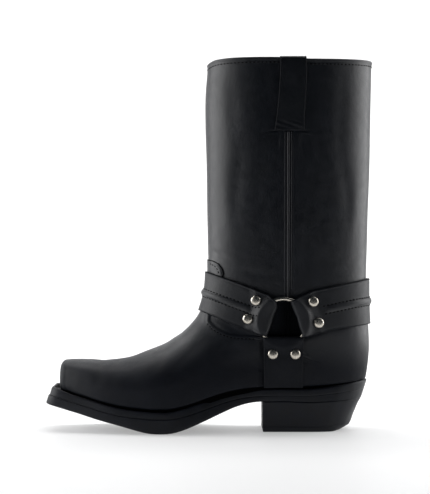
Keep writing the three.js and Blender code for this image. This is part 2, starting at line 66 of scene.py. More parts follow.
# Sizes of the upper
INSTEP_RISE = 90.0
SHAFT_HEIGHT = 351.6
SHAFT_LENGTH = 160.0
SHAFT_WIDTH = 90.0
COLLAR_OVERHANG = 5.7
WALL = 2.4
OVERLAY = 1.2
LAST_SINK = 5.0

# Sizes of the trim
STRAP_THICKNESS = 1.9
TRIM_THICKNESS = 2.1
TRIM_WIDTH = 7.5
RING_RADIUS = 22.0
RING_WIRE = 3.7
RIVET_RADIUS = 4.9
RIVET_HEIGHT = 2.4
PULL_THICKNESS = 1.7
PULL_LENGTH = 68.0
BINDING_DEPTH = 5.0
BINDING_THICKNESS = 0.8
FIT = 0.3

TOE_X = -SOLE_LENGTH / 2 - COLLAR_OVERHANG / 2
BACK_X = TOE_X + SOLE_LENGTH + COLLAR_OVERHANG
OUTER, INNER = -1, 1

# Points nearer to each other than this are merged where a mesh closes on itself
WELD = 0.02

# The sole along its length: shares of its length, toe spring, heel height, thickness, ball width, reach
SOLE_COLUMNS = ("s", "toe", "heel", "thick", "outer", "inner", "reach")
SOLE_TABLE = np.array([
    (0.000, 1.00, 0, 0.74, 0.146, 0.250, 1),
    (0.006, 0.98, 0, 0.73, 0.186, 0.288, 1),
    (0.020, 0.94, 0, 0.72, 0.222, 0.322, 1),
    (0.050, 0.85, 0, 0.70, 0.258, 0.354, 1),
    (0.100, 0.70, 0, 0.69, 0.313, 0.388, 0.97),
    (0.165, 0.48, 0, 0.70, 0.388, 0.430, 0.93),
    (0.230, 0.30, 0, 0.74, 0.448, 0.472, 0.88),
    (0.290, 0.11, 0, 0.92, 0.488, 0.498, 0.85),
    (0.330, 0, 0, 0.98, 0.498, 0.500, 0.84),
    (0.385, 0, 0, 1.00, 0.499, 0.483, 0.80),
    (0.430, 0, 0.135, 0.92, 0.480, 0.448, 0.74),
    (0.480, 0, 0.325, 0.77, 0.442, 0.388, 0.66),
    (0.530, 0, 0.535, 0.70, 0.394, 0.330, 0.58),
    (0.573, 0, 0.755, 0.58, 0.360, 0.300, 0.52),
    (0.610, 0, 0.900, 0.49, 0.340, 0.288, 0.50),
    (0.650, 0, 0.985, 0.44, 0.328, 0.290, 0.48),
    (0.680, 0, 1.000, 0.43, 0.325, 0.295, 0.46),
    (0.760, 0, 1.020, 0.44, 0.325, 0.314, 0.42),
    (0.840, 0, 1.050, 0.52, 0.329, 0.329, 0.42),
    (0.900, 0, 1.080, 0.60, 0.314, 0.318, 0.42),
    (0.945, 0, 1.105, 0.65, 0.268, 0.276, 0.42),
    (0.975, 0, 1.125, 0.68, 0.205, 0.214, 0.42),
    (0.993, 0, 1.135, 0.70, 0.122, 0.132, 0.42),
    (1.000, 0, 1.140, 0.70, 0.050, 0.060, 0.42),
])

# Sections of the foot: front, back, rise, side, centre, top, low, tuck
FOOT_TABLE = [
    (0.0455, 0.0455, 0.300, 0.150, 0.062, 3.0, 6.0, 0.02),
    (0.0475, 0.0475, 0.350, 0.190, 0.060, 3.0, 6.0, 0.02),
    (0.0532, 0.0532, 0.384, 0.216, 0.057, 3.0, 6.0, 0.03),
    (0.0668, 0.0668, 0.406, 0.240, 0.053, 2.9, 6.0, 0.04),
    (0.0895, 0.0895, 0.430, 0.274, 0.046, 2.8, 6.0, 0.05),
    (0.1270, 0.1270, 0.464, 0.320, 0.036, 2.7, 6.0, 0.05),
    (0.1715, 0.1755, 0.498, 0.370, 0.026, 2.5, 6.0, 0.05),
    (0.2230, 0.2320, 0.546, 0.415, 0.016, 2.3, 6.0, 0.05),
    (0.2690, 0.2900, 0.604, 0.443, 0.008, 2.15, 6.0, 0.05),
    (0.3080, 0.3450, 0.678, 0.457, 0.001, 2.05, 5.8, 0.05),
    (0.3430, 0.4000, 0.734, 0.450, -0.006, 2.0, 5.5, 0.05),
    (0.3730, 0.4600, 0.778, 0.424, -0.014, 2.0, 5.2, 0.06),
    (0.3990, 0.5250, 0.826, 0.396, -0.018, 2.0, 5.0, 0.08),
    (0.4220, 0.5900, 0.862, 0.372, -0.016, 2.0, 4.8, 0.10),
    (0.4415, 0.6550, 0.905, 0.355, -0.010, 2.05, 4.6, 0.13),
    (0.4562, 0.7300, 0.947, 0.350, -0.003, 2.1, 4.4, 0.15),
    (0.4692, 0.8100, 0.990, 0.349, 0.001, 2.15, 4.2, 0.16),
    (0.4796, 0.8900, 1.040, 0.350, 0.002, 2.2, 3.8, 0.17),
]

# Sections of the counter and the shaft: ahead, behind, up, rear, side, centre, top, low, tuck
SHAFT_TABLE = [
    (1.0225, 0.0850, 0.023, -0.015, 0.412, 0.001, 2.2, 3.3, 0.14),
    (1.0100, 0.0530, 0.050, 0.035, 0.413, 0.001, 2.2, 2.9, 0.07),
    (0.9995, 0.0385, 0.081, 0.080, 0.415, 0, 2.2, 2.7, 0.03),
    (0.9920, 0.0300, 0.118, 0.131, 0.420, 0, 2.2, 2.6, 0.01),
    (0.9885, 0.0345, 0.160, 0.195, 0.425, 0, 2.2, 2.5, 0),
    (0.9890, 0.0400, 0.205, 0.265, 0.429, 0, 2.2, 2.4, 0),
    (0.9915, 0.0400, 0.263, 0.355, 0.434, 0, 2.2, 2.3, 0),
    (0.993, 0.0345, 0.330, 0.451, 0.441, 0, 2.2, 2.3, 0),
    (0.996, 0.0290, 0.433, 0.547, 0.451, 0, 2.2, 2.25, 0),
    (1.001, 0.0225, 0.579, 0.669, 0.468, 0, 2.2, 2.25, 0),
    (1.006, 0.0150, 0.745, 0.806, 0.485, 0, 2.2, 2.2, 0),
    (1.004, 0.0110, 0.890, 0.925, 0.494, 0, 2.2, 2.2, 0),
    (0.993, 0.0075, 0.981, 1.000, 0.495, 0, 2.2, 2.2, 0),
    (0.990, 0.0060, 1.060, 1.060, 0.495, 0, 2.2, 2.2, 0),
]


def smooth_step(value, low, high):
    t = np.clip((value - low) / (high - low), 0, 1)
    return t * t * (3 - 2 * t)


def fade(value, low, high):
    return 1 - smooth_step(value, low, high)


def bell(value, centre, width):
    """Smooth bump of height 1."""
    return np.exp(-((value - centre) / width) ** 2)


def hermite(x, xs, ys, monotone):
    """Smooth curve through ys at xs, without overshoot where monotone is set."""
    step = np.diff(xs)
    slope = np.diff(ys, axis=0) / step.reshape(-1, *[1] * (ys.ndim - 1))
    tangent = np.empty_like(ys)
    tangent[0], tangent[-1] = slope[0], slope[-1]
    if monotone:
        before, after = slope[:-1], slope[1:]
        total = before + after
        mean = np.where(before * after > 0, 2 * before * after / np.where(total == 0, 1, total), 0)
        tangent[1:-1] = mean
    else:
        weight = (step[:-1] / (step[:-1] + step[1:])).reshape(-1, *[1] * (ys.ndim - 1))
        tangent[1:-1] = slope[:-1] * (1 - weight) + slope[1:] * weight
    x = np.clip(x, xs[0], xs[-1])
    i = np.clip(np.searchsorted(xs, x, side="right") - 1, 0, len(xs) - 2)
    run = step[i]
    t = (x - xs[i]) / run
    shape = t.shape + (1,) * (ys.ndim - 1)
    t = t.reshape(shape)
    run = run.reshape(shape)
    return ((2 * t**3 - 3 * t**2 + 1) * ys[i] + (t**3 - 2 * t**2 + t) * run * tangent[i]
            + (3 * t**2 - 2 * t**3) * ys[i + 1] + (t**3 - t**2) * run * tangent[i + 1])


def sole_at(share, column):
    """One column of the sole's table at shares of its length."""
    k = SOLE_COLUMNS.index(column)
    return hermite(np.asarray(share, float), SOLE_TABLE[:, 0], SOLE_TABLE[:, k], True)


def sole_x(share):
    return TOE_X + np.asarray(share, float) * SOLE_LENGTH


def worn_smooth(line, reach):
    """A line sampled along the sole without its corners; its ends stay."""
    kernel = np.exp(-np.linspace(-2, 2, 2 * reach + 1) ** 2 * 0.9)
    before = 2 * line[0] - line[reach:0:-1]
    after = 2 * line[-1] - line[-2:-reach - 2:-1]
    return np.convolve(np.concatenate([before, line, after]), kernel / kernel.sum(), mode="valid")


SOLE_SPOTS = np.linspace(0, 1, 1201)
CORNER_REACH = 70
BOTTOM_LINE = worn_smooth(
    sole_at(SOLE_SPOTS, "toe") * TOE_SPRING + sole_at(SOLE_SPOTS, "heel") * HEEL_HEIGHT, CORNER_REACH)
BOTTOM_LINE -= BOTTOM_LINE.min()
THICK_LINE = worn_smooth(sole_at(SOLE_SPOTS, "thick") * OUTSOLE_THICKNESS, CORNER_REACH)


def sole_bottom(share):
    return np.interp(share, SOLE_SPOTS, BOTTOM_LINE)


def sole_thick(share):
    return np.interp(share, SOLE_SPOTS, THICK_LINE)


def seat_line(share):
    return sole_bottom(share) + sole_thick(share)


# Share of the sole's length where the heel seat is measured
HEEL_SEAT = 0.95


def upper_sections():
    """The upper's sections: front x, front z, back x, back z, half width, middle, top, low, tuck."""
    foot = [
        (sole_x(front), seat_line(front) + rise * INSTEP_RISE, sole_x(back), seat_line(back) - LAST_SINK,
         side * BALL_WIDTH, centre * BALL_WIDTH, *form)
        for front, back, rise, side, centre, *form in FOOT_TABLE
    ]
    throat = seat_line(FOOT_TABLE[-1][0]) + FOOT_TABLE[-1][2] * INSTEP_RISE
    seat = seat_line(HEEL_SEAT)
    shaft = [
        (BACK_X - ahead * SHAFT_LENGTH, throat + up * (SHAFT_HEIGHT - throat),
         BACK_X - behind * SHAFT_LENGTH, seat + rear * (SHAFT_HEIGHT - seat),
         side * SHAFT_WIDTH, centre * BALL_WIDTH, *form)
        for ahead, behind, up, rear, side, centre, *form in SHAFT_TABLE
    ]
    return np.array(foot + shaft)


SECTIONS = upper_sections()

# The bed is rounder at the ball, and the waist stands a little higher than the form's own line
BALL_ROUND, BALL_SPOT, BALL_SPREAD = 2.3, 0.352, 0.075
WAIST_RISE, WAIST_FROM, WAIST_TO = 1.7, (0.42, 0.54), (0.72, 0.84)
THICK_LINE += BALL_ROUND * bell(SOLE_SPOTS, BALL_SPOT, BALL_SPREAD)
BOTTOM_LINE += WAIST_RISE * smooth_step(SOLE_SPOTS, *WAIST_FROM) * fade(SOLE_SPOTS, *WAIST_TO)

STEPS = np.linalg.norm(np.diff(SECTIONS[:, :4], axis=0).reshape(-1, 2, 2), axis=2).mean(axis=1)
RUN = np.concatenate([[0], np.cumsum(STEPS)])
LAST_RUN = RUN[-1]


def last_point(w, t):
    """Point of the upper's form at run w and angle t (0 front, pi back, positive on the inner side)."""
    w, t = np.broadcast_arrays(np.asarray(w, float), np.asarray(t, float))
    fx, fz, bx, bz, half, middle, top, low, tuck = hermite(w.ravel(), RUN, SECTIONS, False).T
    c, s = np.cos(t.ravel()), np.sin(t.ravel())
    power = 2 / np.where(c >= 0, top, low)
    a = np.sign(c) * np.abs(c) ** power
    b = np.sign(s) * np.abs(s) ** power
    draw = np.where(a < 0, 1 - tuck * a * a, 1)
    point = [bx + (fx - bx) * (a + 1) / 2, middle + b * half * draw, bz + (fz - bz) * (a + 1) / 2]
    return np.stack(point, axis=-1).reshape(w.shape + (3,))


def last_normal(w, t):
    """Outward direction of the upper's form."""
    dw, dt = 0.5, 0.02
    along = last_point(np.clip(w + dw, 0, LAST_RUN), t) - last_point(np.clip(w - dw, 0, LAST_RUN), t)
    across = last_point(w, t + dt) - last_point(w, t - dt)
    normal = np.cross(along, across)
    return normal / np.maximum(np.linalg.norm(normal, axis=-1, keepdims=True), 1e-9)


DENSE_W = np.linspace(0, LAST_RUN, 1600)
DENSE = hermite(DENSE_W, RUN, SECTIONS, False)


def locate(x, z, side):
    """Run and angle of the form's point that the side view shows at x, z."""
    x, z = np.broadcast_arrays(np.asarray(x, float), np.asarray(z, float))
    shape = x.shape
    x, z = x.ravel(), z.ravel()
    front, back = DENSE[:, 0:2], DENSE[:, 2:4]
    d = front - back
    cross = d[None, :, 0] * (z[:, None] - back[None, :, 1]) - d[None, :, 1] * (x[:, None] - back[None, :, 0])
    sign = cross > 0
    change = sign[:, 1:] != sign[:, :-1]
    k = len(DENSE_W) - 2 - np.argmax(change[:, ::-1], axis=1)
    rows = np.arange(len(x))
    c0, c1 = cross[rows, k], cross[rows, k + 1]
    f = np.clip(c0 / np.where(c0 - c1 == 0, 1, c0 - c1), 0, 1)
    w = DENSE_W[k] + f * (DENSE_W[k + 1] - DENSE_W[k])
    fx, fz, bx, bz, _, _, top, low, _ = hermite(w, RUN, SECTIONS, False).T
    length = (fx - bx) ** 2 + (fz - bz) ** 2
    a = 2 * ((x - bx) * (fx - bx) + (z - bz) * (fz - bz)) / length - 1
    a = np.clip(a, -0.9999, 0.9999)
    t = np.arccos(np.sign(a) * np.abs(a) ** (np.where(a >= 0, top, low) / 2))
    return w.reshape(shape), (side * t).reshape(shape)


def on_form(x, z, side):
    """Point and outward direction of the form that the side view shows at x, z."""
    w, t = locate(x, z, side)
    return last_point(w, t), last_normal(w, t)


def outline_depth(x, z, outline):
    """Distance inside an outline in the side view, negative outside."""
    points = np.asarray(outline, float)
    ends = np.roll(points, -1, axis=0)
    best = np.full(x.shape, 1e9)
    inside = np.zeros(x.shape, bool)
    for (ax, az), (bx, bz) in zip(points, ends):
        vx, vz = bx - ax, bz - az
        f = np.clip(((x - ax) * vx + (z - az) * vz) / (vx * vx + vz * vz), 0, 1)
        best = np.minimum(best, np.hypot(x - ax - f * vx, z - az - f * vz))
        crosses = (az > z) != (bz > z)
        at = ax + (z - az) * vx / (vz if vz else 1)
        inside ^= crosses & (x < at)
    return np.where(inside, best, -best)


# Meshes

def add_piece(name, points, faces, material, slot, *nodes):
    """Smooth mesh that rides the root and replaces nodes of the frame."""
    mesh = bpy.data.meshes.new(name)
    mesh.from_pydata(((np.asarray(points) - FRAME_SHIFT) * MM).tolist(), [], faces)
    mesh.validate()
    mesh.materials.append(MATERIALS[material])
    mesh.shade_smooth()
    piece = bpy.data.objects.new(name, mesh)
    bpy.context.scene.collection.objects.link(piece)
    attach(piece, "root")
    if nodes:
        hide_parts(*nodes)
    return piece


def set_dull_and_painted_shade(piece, values):
    """Stores the shares for the leather's material, one for each point of the mesh; they make it dull, and
    above 0.65 they paint its colour darker as shade.
    """
    shade = piece.data.attributes.new("dull_and_painted_shade", "FLOAT", "POINT")
    shade.data.foreach_set("value", np.asarray(values, float).ravel())


def close_mesh(piece, weld):
    """Merges points nearer than weld, if it isn't 0, and turns every face outward."""
    mesh = bmesh.new()
    mesh.from_mesh(piece.data)
    if weld:
        bmesh.ops.remove_doubles(mesh, verts=mesh.verts, dist=weld * MM)
    bmesh.ops.recalc_face_normals(mesh, faces=mesh.faces)
    mesh.to_mesh(piece.data)
    mesh.free()


def add_solid(name, points, faces, material, slot, node, dullness_and_painted_shade=None, weld=0.0):
    """Closed piece, with its dullness and painted shade where the leather has them."""
    piece = add_piece(name, points, faces, material, slot, node)
    if dullness_and_painted_shade is not None:
        set_dull_and_painted_shade(piece, dullness_and_painted_shade)
    close_mesh(piece, weld)


def grid_faces(rows, columns, start=0, closed=False, flip=False):
    """Quads of a grid of points stored row by row."""
    r, c = np.meshgrid(np.arange(rows - 1), np.arange(columns - (not closed)), indexing="ij")
    n = (c + 1) % columns
    corners = [r * columns + c, r * columns + n, (r + 1) * columns + n, (r + 1) * columns + c]
    quads = np.stack(corners, axis=-1).reshape(-1, 4) + start
    return (quads[:, ::-1] if flip else quads).tolist()


def rim_faces(rows, columns, offset):
    """Quads that join the edges of two equal grids, the second one offset points later."""
    ring = ([(0, c) for c in range(columns)] + [(r, columns - 1) for r in range(1, rows)]
            + [(rows - 1, c) for c in range(columns - 2, -1, -1)] + [(r, 0) for r in range(rows - 2, 0, -1)])
    index = [r * columns + c for r, c in ring]
    return [[a, a + offset, b + offset, b] for a, b in zip(index, index[1:] + index[:1])]


def slab(low, high):
    """Closed sheet between two grids of points."""
    rows, columns = low.shape[:2]
    count = rows * columns
    points = np.concatenate([high.reshape(-1, 3), low.reshape(-1, 3)])
    faces = grid_faces(rows, columns) + grid_faces(rows, columns, count, flip=True)
    faces += rim_faces(rows, columns, count)
    return points, faces


def joined(parts):
    """Several (points, faces) as one."""
    points, faces, start = [], [], 0
    for p, f in parts:
        points.append(np.asarray(p))
        faces += [[i + start for i in face] for face in f]
        start += len(p)
    return np.concatenate(points), faces


# Materials

class Nodes:
    """Short hand for the nodes of one material."""

    def __init__(self, name):
        self.material = bpy.data.materials.new(name)
        self.material.use_nodes = True
        self.tree = self.material.node_tree
        self.shader = self.tree.nodes["Principled BSDF"]
        self.coords = self.add("ShaderNodeTexCoord").outputs["Object"]

    def add(self, kind, inputs=None, **settings):
        node = self.tree.nodes.new(kind)
        for key, value in settings.items():
            setattr(node, key, value)
        for key, value in (inputs or {}).items():
            self.put(node.inputs[key], value)
        return node

    def put(self, socket, value):
        if isinstance(value, bpy.types.NodeSocket):
            self.tree.links.new(value, socket)
        else:
            socket.default_value = value

    def shade(self, sockets):
        """Sets or links sockets of the shader by their names."""
        for name, value in sockets.items():
            self.put(self.shader.inputs[name], value)

    def noise(self, size_mm, detail, roughness, stretch=(1, 1, 1), distortion=0.0):
        scaled = self.add("ShaderNodeMapping", {"Vector": self.coords, "Scale": Vector(stretch)})
        node = self.add("ShaderNodeTexNoise", {"Vector": scaled.outputs[0], "Scale": 1000.0 / size_mm,
                                               "Detail": detail, "Roughness": roughness,
                                               "Distortion": distortion})
        return node.outputs["Fac"]

    def cells(self, size_mm):
        node = self.add("ShaderNodeTexVoronoi", {"Vector": self.coords, "Scale": 1000.0 / size_mm},
                        feature="DISTANCE_TO_EDGE")
        return node.outputs["Distance"]

    def ramp(self, value, low, high, to_low=0.0, to_high=1.0):
        node = self.add("ShaderNodeMapRange", {"Value": value, "From Min": low, "From Max": high,
                                               "To Min": to_low, "To Max": to_high})
        return node.outputs["Result"]

    def mix_color(self, factor, a, b):
        node = self.add("ShaderNodeMix", data_type="RGBA")
        self.put(node.inputs[0], factor)
        self.put(node.inputs[6], a)
        self.put(node.inputs[7], b)
        return node.outputs[2]

    def math(self, operation, a, b):
        node = self.add("ShaderNodeMath", operation=operation)
        self.put(node.inputs[0], a)
        self.put(node.inputs[1], b)
        return node.outputs[0]

    def bump(self, height, distance_mm, strength, after=None):
        settings = {"Height": height, "Distance": distance_mm * MM, "Strength": strength}
        if after is not None:
            settings["Normal"] = after
        return self.add("ShaderNodeBump", settings).outputs["Normal"]


def leather(name, dark, light, rough, grain_mm, grain_depth, coat=0.0, coat_rough=0.3):
    """Oiled leather: pebbled grain, soft pull-up clouds and faint scuffs; dull where the stored share is
    high, and painted near black as shade where it is highest.
    """
    n = Nodes(name)
    clouds = n.noise(38.0, 4.0, 0.55, distortion=0.6)
    mottle = n.noise(7.0, 4.0, 0.6)
    scuffs = n.noise(16.0, 6.0, 0.7, stretch=(1, 1, 0.25), distortion=1.2)
    blend = n.math("ADD", n.math("MULTIPLY", clouds, 0.65), n.math("MULTIPLY", mottle, 0.35))
    pull = n.ramp(blend, 0.36, 0.64)
    worn = n.ramp(scuffs, 0.5, 0.75, 0.0, 0.06)
    dull_and_painted_shade = n.add("ShaderNodeAttribute", attribute_name="dull_and_painted_shade").outputs["Fac"]
    colour = n.mix_color(pull, (*dark, 1), (*light, 1))
    # Painted shade: from a share of 0.65 up, the colour is mixed toward near black
    shadow = n.ramp(dull_and_painted_shade, 0.65, 1.0)
    gloss = n.math("ADD", n.ramp(mottle, 0.3, 0.7, rough - 0.05, rough + 0.06), worn)
    shine = 0.46
    n.shade({"Specular IOR Level": shine, "Coat Roughness": coat_rough})
    n.shade({
        "Base Color": n.mix_color(shadow, colour, (0.0005, 0.0006, 0.0008, 1)),
        "Roughness": n.math("ADD", gloss, n.math("MULTIPLY", dull_and_painted_shade, 0.4)),
        "Specular IOR Level": n.ramp(dull_and_painted_shade, 0.0, 1.0, shine, 0.02),
        "Coat Weight": n.ramp(dull_and_painted_shade, 0.0, 1.0, coat, 0.0),
    })
    grain = n.ramp(n.cells(grain_mm), 0.0, 0.22)
    fine = n.noise(grain_mm * 0.45, 3.0, 0.6)
    pores = n.noise(grain_mm * 3.5, 5.0, 0.6)
    normal = n.bump(n.noise(17.0, 4.0, 0.55, distortion=0.5), 1.3, 0.3)
    normal = n.bump(pores, grain_depth * 2.0, 0.7, normal)
    normal = n.bump(grain, grain_depth, 0.5, normal)
    n.shade({"Normal": n.bump(fine, grain_depth * 0.5, 0.5, normal)})
    return n.material


def rubber(name, colour, rough):
    """Black sole edge: fine drag marks along the edge and a dusty mottle."""
    n = Nodes(name)
    drag = n.noise(2.2, 4.0, 0.65, stretch=(0.12, 0.12, 1.0))
    mottle = n.noise(9.0, 5.0, 0.65)
    tone = n.ramp(mottle, 0.35, 0.7)
    normal = n.bump(drag, 0.12, 0.5)
    n.shade({
        "Base Color": n.mix_color(tone, (*colour, 1), (*[c * 1.9 for c in colour], 1)),
        "Roughness": n.ramp(mottle, 0.3, 0.7, rough - 0.06, rough + 0.08),
        "Normal": n.bump(n.noise(0.7, 3.0, 0.5), 0.05, 0.5, normal),
        "Specular IOR Level": 0.26,
    })
    return n.material


def metal(name):
    """Polished nickel plate with a warm tone and fine scratches."""
    n = Nodes(name)
    mottle = n.noise(1.6, 4.0, 0.6)
    scratches = n.noise(0.5, 4.0, 0.7, stretch=(1, 1, 0.15))
    tone = n.ramp(mottle, 0.3, 0.7)
    n.shade({
        "Metallic": 1.0,
        "Base Color": n.mix_color(tone, (0.50, 0.46, 0.40, 1), (0.66, 0.62, 0.55, 1)),
        "Roughness": n.ramp(scratches, 0.3, 0.7, 0.2, 0.34),
        "Normal": n.bump(mottle, 0.03, 0.4),
    })
    return n.material


def thread_material(name, colour):
    """Waxed thread, lighter where its twist stands up."""
    n = Nodes(name)
    twist = n.noise(0.4, 2.0, 0.5)
    n.shade({
        "Base Color": n.mix_color(twist, (*colour, 1), (*[c * 2 for c in colour], 1)),
        "Roughness": n.ramp(twist, 0.3, 0.7, 0.75, 0.95),
        "Specular IOR Level": 0.08,
        "Normal": n.bump(twist, 0.08, 0.5),
    })
    return n.material


MATERIALS = {
    "upper": leather("oiled_leather", (0.0009, 0.0019, 0.0048), (0.0026, 0.0042, 0.0084), 0.42, 0.9, 0.05,
                     coat=0.12, coat_rough=0.35),
    "strap": leather("strap_leather", (0.0009, 0.0018, 0.0042), (0.0026, 0.0040, 0.0074), 0.44, 0.8, 0.05,
                     coat=0.1, coat_rough=0.35),
    "trim": leather("trim_leather", (0.0014, 0.0018, 0.0028), (0.0032, 0.0037, 0.0050), 0.46, 0.7, 0.04),
    "lining": leather("lining_leather", (0.030, 0.024, 0.019), (0.045, 0.036, 0.028), 0.7, 0.8, 0.05),
    "insole": leather("insole_leather", (0.15, 0.095, 0.055), (0.20, 0.13, 0.08), 0.75, 0.9, 0.05),
    "welt": rubber("welt_edge", (0.0022, 0.0030, 0.0054), 0.44),
    "rubber": rubber("sole_rubber", (0.0020, 0.0028, 0.0052), 0.48),
    "metal": metal("nickel"),
    "thread": thread_material("black_thread", (0.0015, 0.0015, 0.0016)),
}


# Sole

def sole_spots(s, up):
    """Places on the sole in the side view, square to its bottom, at heights above it."""
    step = 0.004
    low, high = np.clip(s - step, 0, 1), np.clip(s + step, 0, 1)
    slope = (sole_bottom(high) - sole_bottom(low)) / ((high - low) * SOLE_LENGTH)
    return sole_x(s) - slope * SOLE_LEAN * up, sole_bottom(s) + up


def sole_stations():
    """Shares of the length, close together at both ends."""
    t = np.linspace(0, 1, 121)
    return np.clip(0.5 - 0.5 * np.sign(0.5 - t) * np.abs(2 * t - 1) ** 0.62, 0, 1)


# How far the back edge leans in for each millimetre below the welt's top
BACK_LEAN = 0.40

# Half the sole's least width, where its outline closes at toe and back
THIN_END = 0.6


def outline_ring(stations, x, z, draw, width=1.0):
    """Ring round the sole's outline, drawn in by a distance; the outer side comes first."""
    outer, inner = [np.maximum(sole_at(stations, side) * BALL_WIDTH * width - draw, THIN_END)
                    for side in ("outer", "inner")]
    return np.concatenate([np.stack([x, -outer, z], axis=-1), np.stack([x, inner, z], axis=-1)[::-1]])


def sole_rings(profile, stations):
    """Rings round the sole for each (height function, inset function) of a profile."""
    middle = TOE_X + SOLE_LENGTH / 2
    rings = []
    under = BACK_LEAN * smooth_step(stations, 0.80, 1.0)
    for height, inset in profile:
        up, draw = height(stations), inset(stations)
        x, z = sole_spots(stations, up)
        lean = under * (sole_thick(stations) + WELT_HEIGHT - up - 0.5)
        along = middle + (x - middle) * (1 - (draw + lean) / (SOLE_LENGTH / 2))
        rings.append(outline_ring(stations, along, z, draw))
    return rings


def rings_solid(rings):
    """Solid of stacked rings; each cap is a ladder between the two sides."""
    count = len(rings[0])
    points = np.concatenate(rings)
    faces = grid_faces(len(rings), count, closed=True)
    ladder = [[i, i + 1, count - 2 - i, count - 1 - i] for i in range(count // 2 - 1)]
    top = (len(rings) - 1) * count
    faces += [face[::-1] for face in ladder] + [[i + top for i in face] for face in ladder]
    return points, faces


def const(value):
    return lambda s: np.full(np.shape(s), float(value))


def over(rise):
    return lambda s: sole_thick(s) + rise


def share_up(share):
    return lambda s: sole_thick(s) * share


def footing(s):
    return sole_at(s, "reach") * WELT_REACH + WALL + 2.0


def before_heel(value):
    """A rounding of the sole's edge that ends where the heel begins."""
    return lambda s: value - (value - 0.06) * smooth_step(s, 0.655, 0.70)


def welt_inset(extra):
    """The welt stands in from the sole's edge, less so behind the ball."""
    return lambda s: extra + WELT_INSET * (1 - 0.85 * smooth_step(s, 0.5, 0.8))


RIM_BACK_RISE = 2.4
RIM_TOE_RISE = 1.4


def rim(drop):
    """Height of the welt's rim, which rises at the back and the toe, less a drop."""
    return lambda s: (sole_thick(s) + WELT_HEIGHT - drop + RIM_BACK_RISE * smooth_step(s, 0.84, 1.0)
                      + RIM_TOE_RISE * fade(s, 0.0, 0.07))


def board_edge(s):
    return footing(s) + FIT + 5.0 * fade(s, 0.0, 0.12)


def build_sole():
    stations = sole_stations()
    profile = [
        (const(0), const(3.0)), (const(0), before_heel(1.3)), (const(0.35), before_heel(0.55)),
        (const(1.2), before_heel(0.1)), (share_up(0.30), const(0.0)), (share_up(0.62), const(0.05)),
        (share_up(0.80), const(0.08)), (share_up(0.93), before_heel(0.1)), (over(0), before_heel(0.2)),
        (over(0), const(1.6)),
    ]
    solid = rings_solid(sole_rings(profile, stations))
    add_solid("outsole_skin", *solid, "rubber", "sole_rubber", "outsole")

    lip = WELT_INSET + WELT_LIP
    profile = [
        (over(0.02), footing), (over(0.02), welt_inset(0.1)), (over(0.2), welt_inset(0)),
        (over(FIT + 1.0), welt_inset(0)), (rim(1.6), welt_inset(0)), (rim(0.7), welt_inset(0.2)),
        (rim(0.15), welt_inset(0.7)), (rim(0), welt_inset(1.1)), (rim(0.2), const(lip - 0.3)),
        (rim(0.9), const(lip)), (over(WELT_LEDGE + 0.4), const(lip + 0.1)),
        (over(WELT_LEDGE), const(lip + 0.5)), (over(WELT_LEDGE), footing),
    ]
    rings = sole_rings(profile, stations)
    points = np.concatenate(rings + rings[:1])
    faces = grid_faces(len(rings) + 1, len(rings[0]), closed=True)
    add_solid("welt_strip", points, faces, "welt", "welt_leather", "welt", weld=WELD)

    profile = [(over(FIT), board_edge), (over(INSOLE_THICKNESS), board_edge),
               (over(FIT + INSOLE_THICKNESS), lambda s: board_edge(s) + 0.4)]
    solid = rings_solid(sole_rings(profile, stations))
    add_solid("insole_board", *solid, "insole", "insole_leather", "insole")


# The heel leans in: share of the heel's height, of the length from the breast, of the seat's width
HEEL_TAPER = np.array([(0, 0.816, 0.90), (0.22, 0.835, 0.91), (0.58, 0.870, 0.935), (0.92, 0.910, 0.965),
                       (1.3, 0.968, 1)])
BREAST_SHARE = 0.6725

# The lift's lower back corner is worn off: its height, and its depth at the floor
WORN_HEIGHT, WORN_DEPTH = 7.0, 8.0


def heel_ring(stations, z, draw):
    """D-shaped ring of the heel; z may change along it."""
    z = np.broadcast_to(z, stations.shape)
    worn = np.clip(1 - z / WORN_HEIGHT, 0, 1) ** 2 * WORN_DEPTH
    shares, lengths, widths = HEEL_TAPER.T
    length = np.interp(z / HEEL_HEIGHT, shares, lengths)
    width = np.interp(z / HEEL_HEIGHT, shares, widths)
    breast = float(sole_x(BREAST_SHARE))
    reach = (sole_x(stations) - breast) * length
    total = (sole_x(1.0) - breast) * length
    x = breast + draw + reach * (1 - 2 * draw / total) - worn * smooth_step(reach / total, 0.75, 1.0)
    return outline_ring(stations, x, z, draw, width)


def build_heel():
    t = np.linspace(0, 1, 61)
    stations = BREAST_SHARE + (1 - BREAST_SHARE) * (1 - (1 - t) ** 1.7)
    top = sole_bottom(stations) - 0.02
    low = LIFT_THICKNESS + 0.03
    block = [(low, 1.2), (low, 0.06), (low + 0.3, 0.0)]
    block += [(low + (top - low) * f, 0.0) for f in np.linspace(0.1, 1, 14)]
    block += [(top, 0.1)]
    lift = [(0.0, 2.0), (0.0, 0.5), (0.5, 0.0), (LIFT_THICKNESS - 0.3, 0.0), (LIFT_THICKNESS, 0.06),
            (LIFT_THICKNESS, 2.0)]
    for name, profile, node in (("heel_block", block, "heel"), ("heel_lift", lift, "heel_top_lift")):
        solid = rings_solid([heel_ring(stations, z, draw) for z, draw in profile])
        add_solid(name, *solid, "rubber", "sole_rubber", node)


# Places seen in the side view, as shares of the ring's radius from the ring's centre

RING_X = float(sole_x(0.734))
RING_Z = HEEL_HEIGHT + 0.852 * INSTEP_RISE


def by_ring(*places):
    return [(RING_X + dx * RING_RADIUS, RING_Z + dz * RING_RADIUS) for dx, dz in places]


def ring_point(degrees):
    """Place just inside the ring's wire."""
    turn, reach = math.radians(degrees), RING_RADIUS - 1.7
    return (RING_X + reach * math.cos(turn), RING_Z + reach * math.sin(turn))


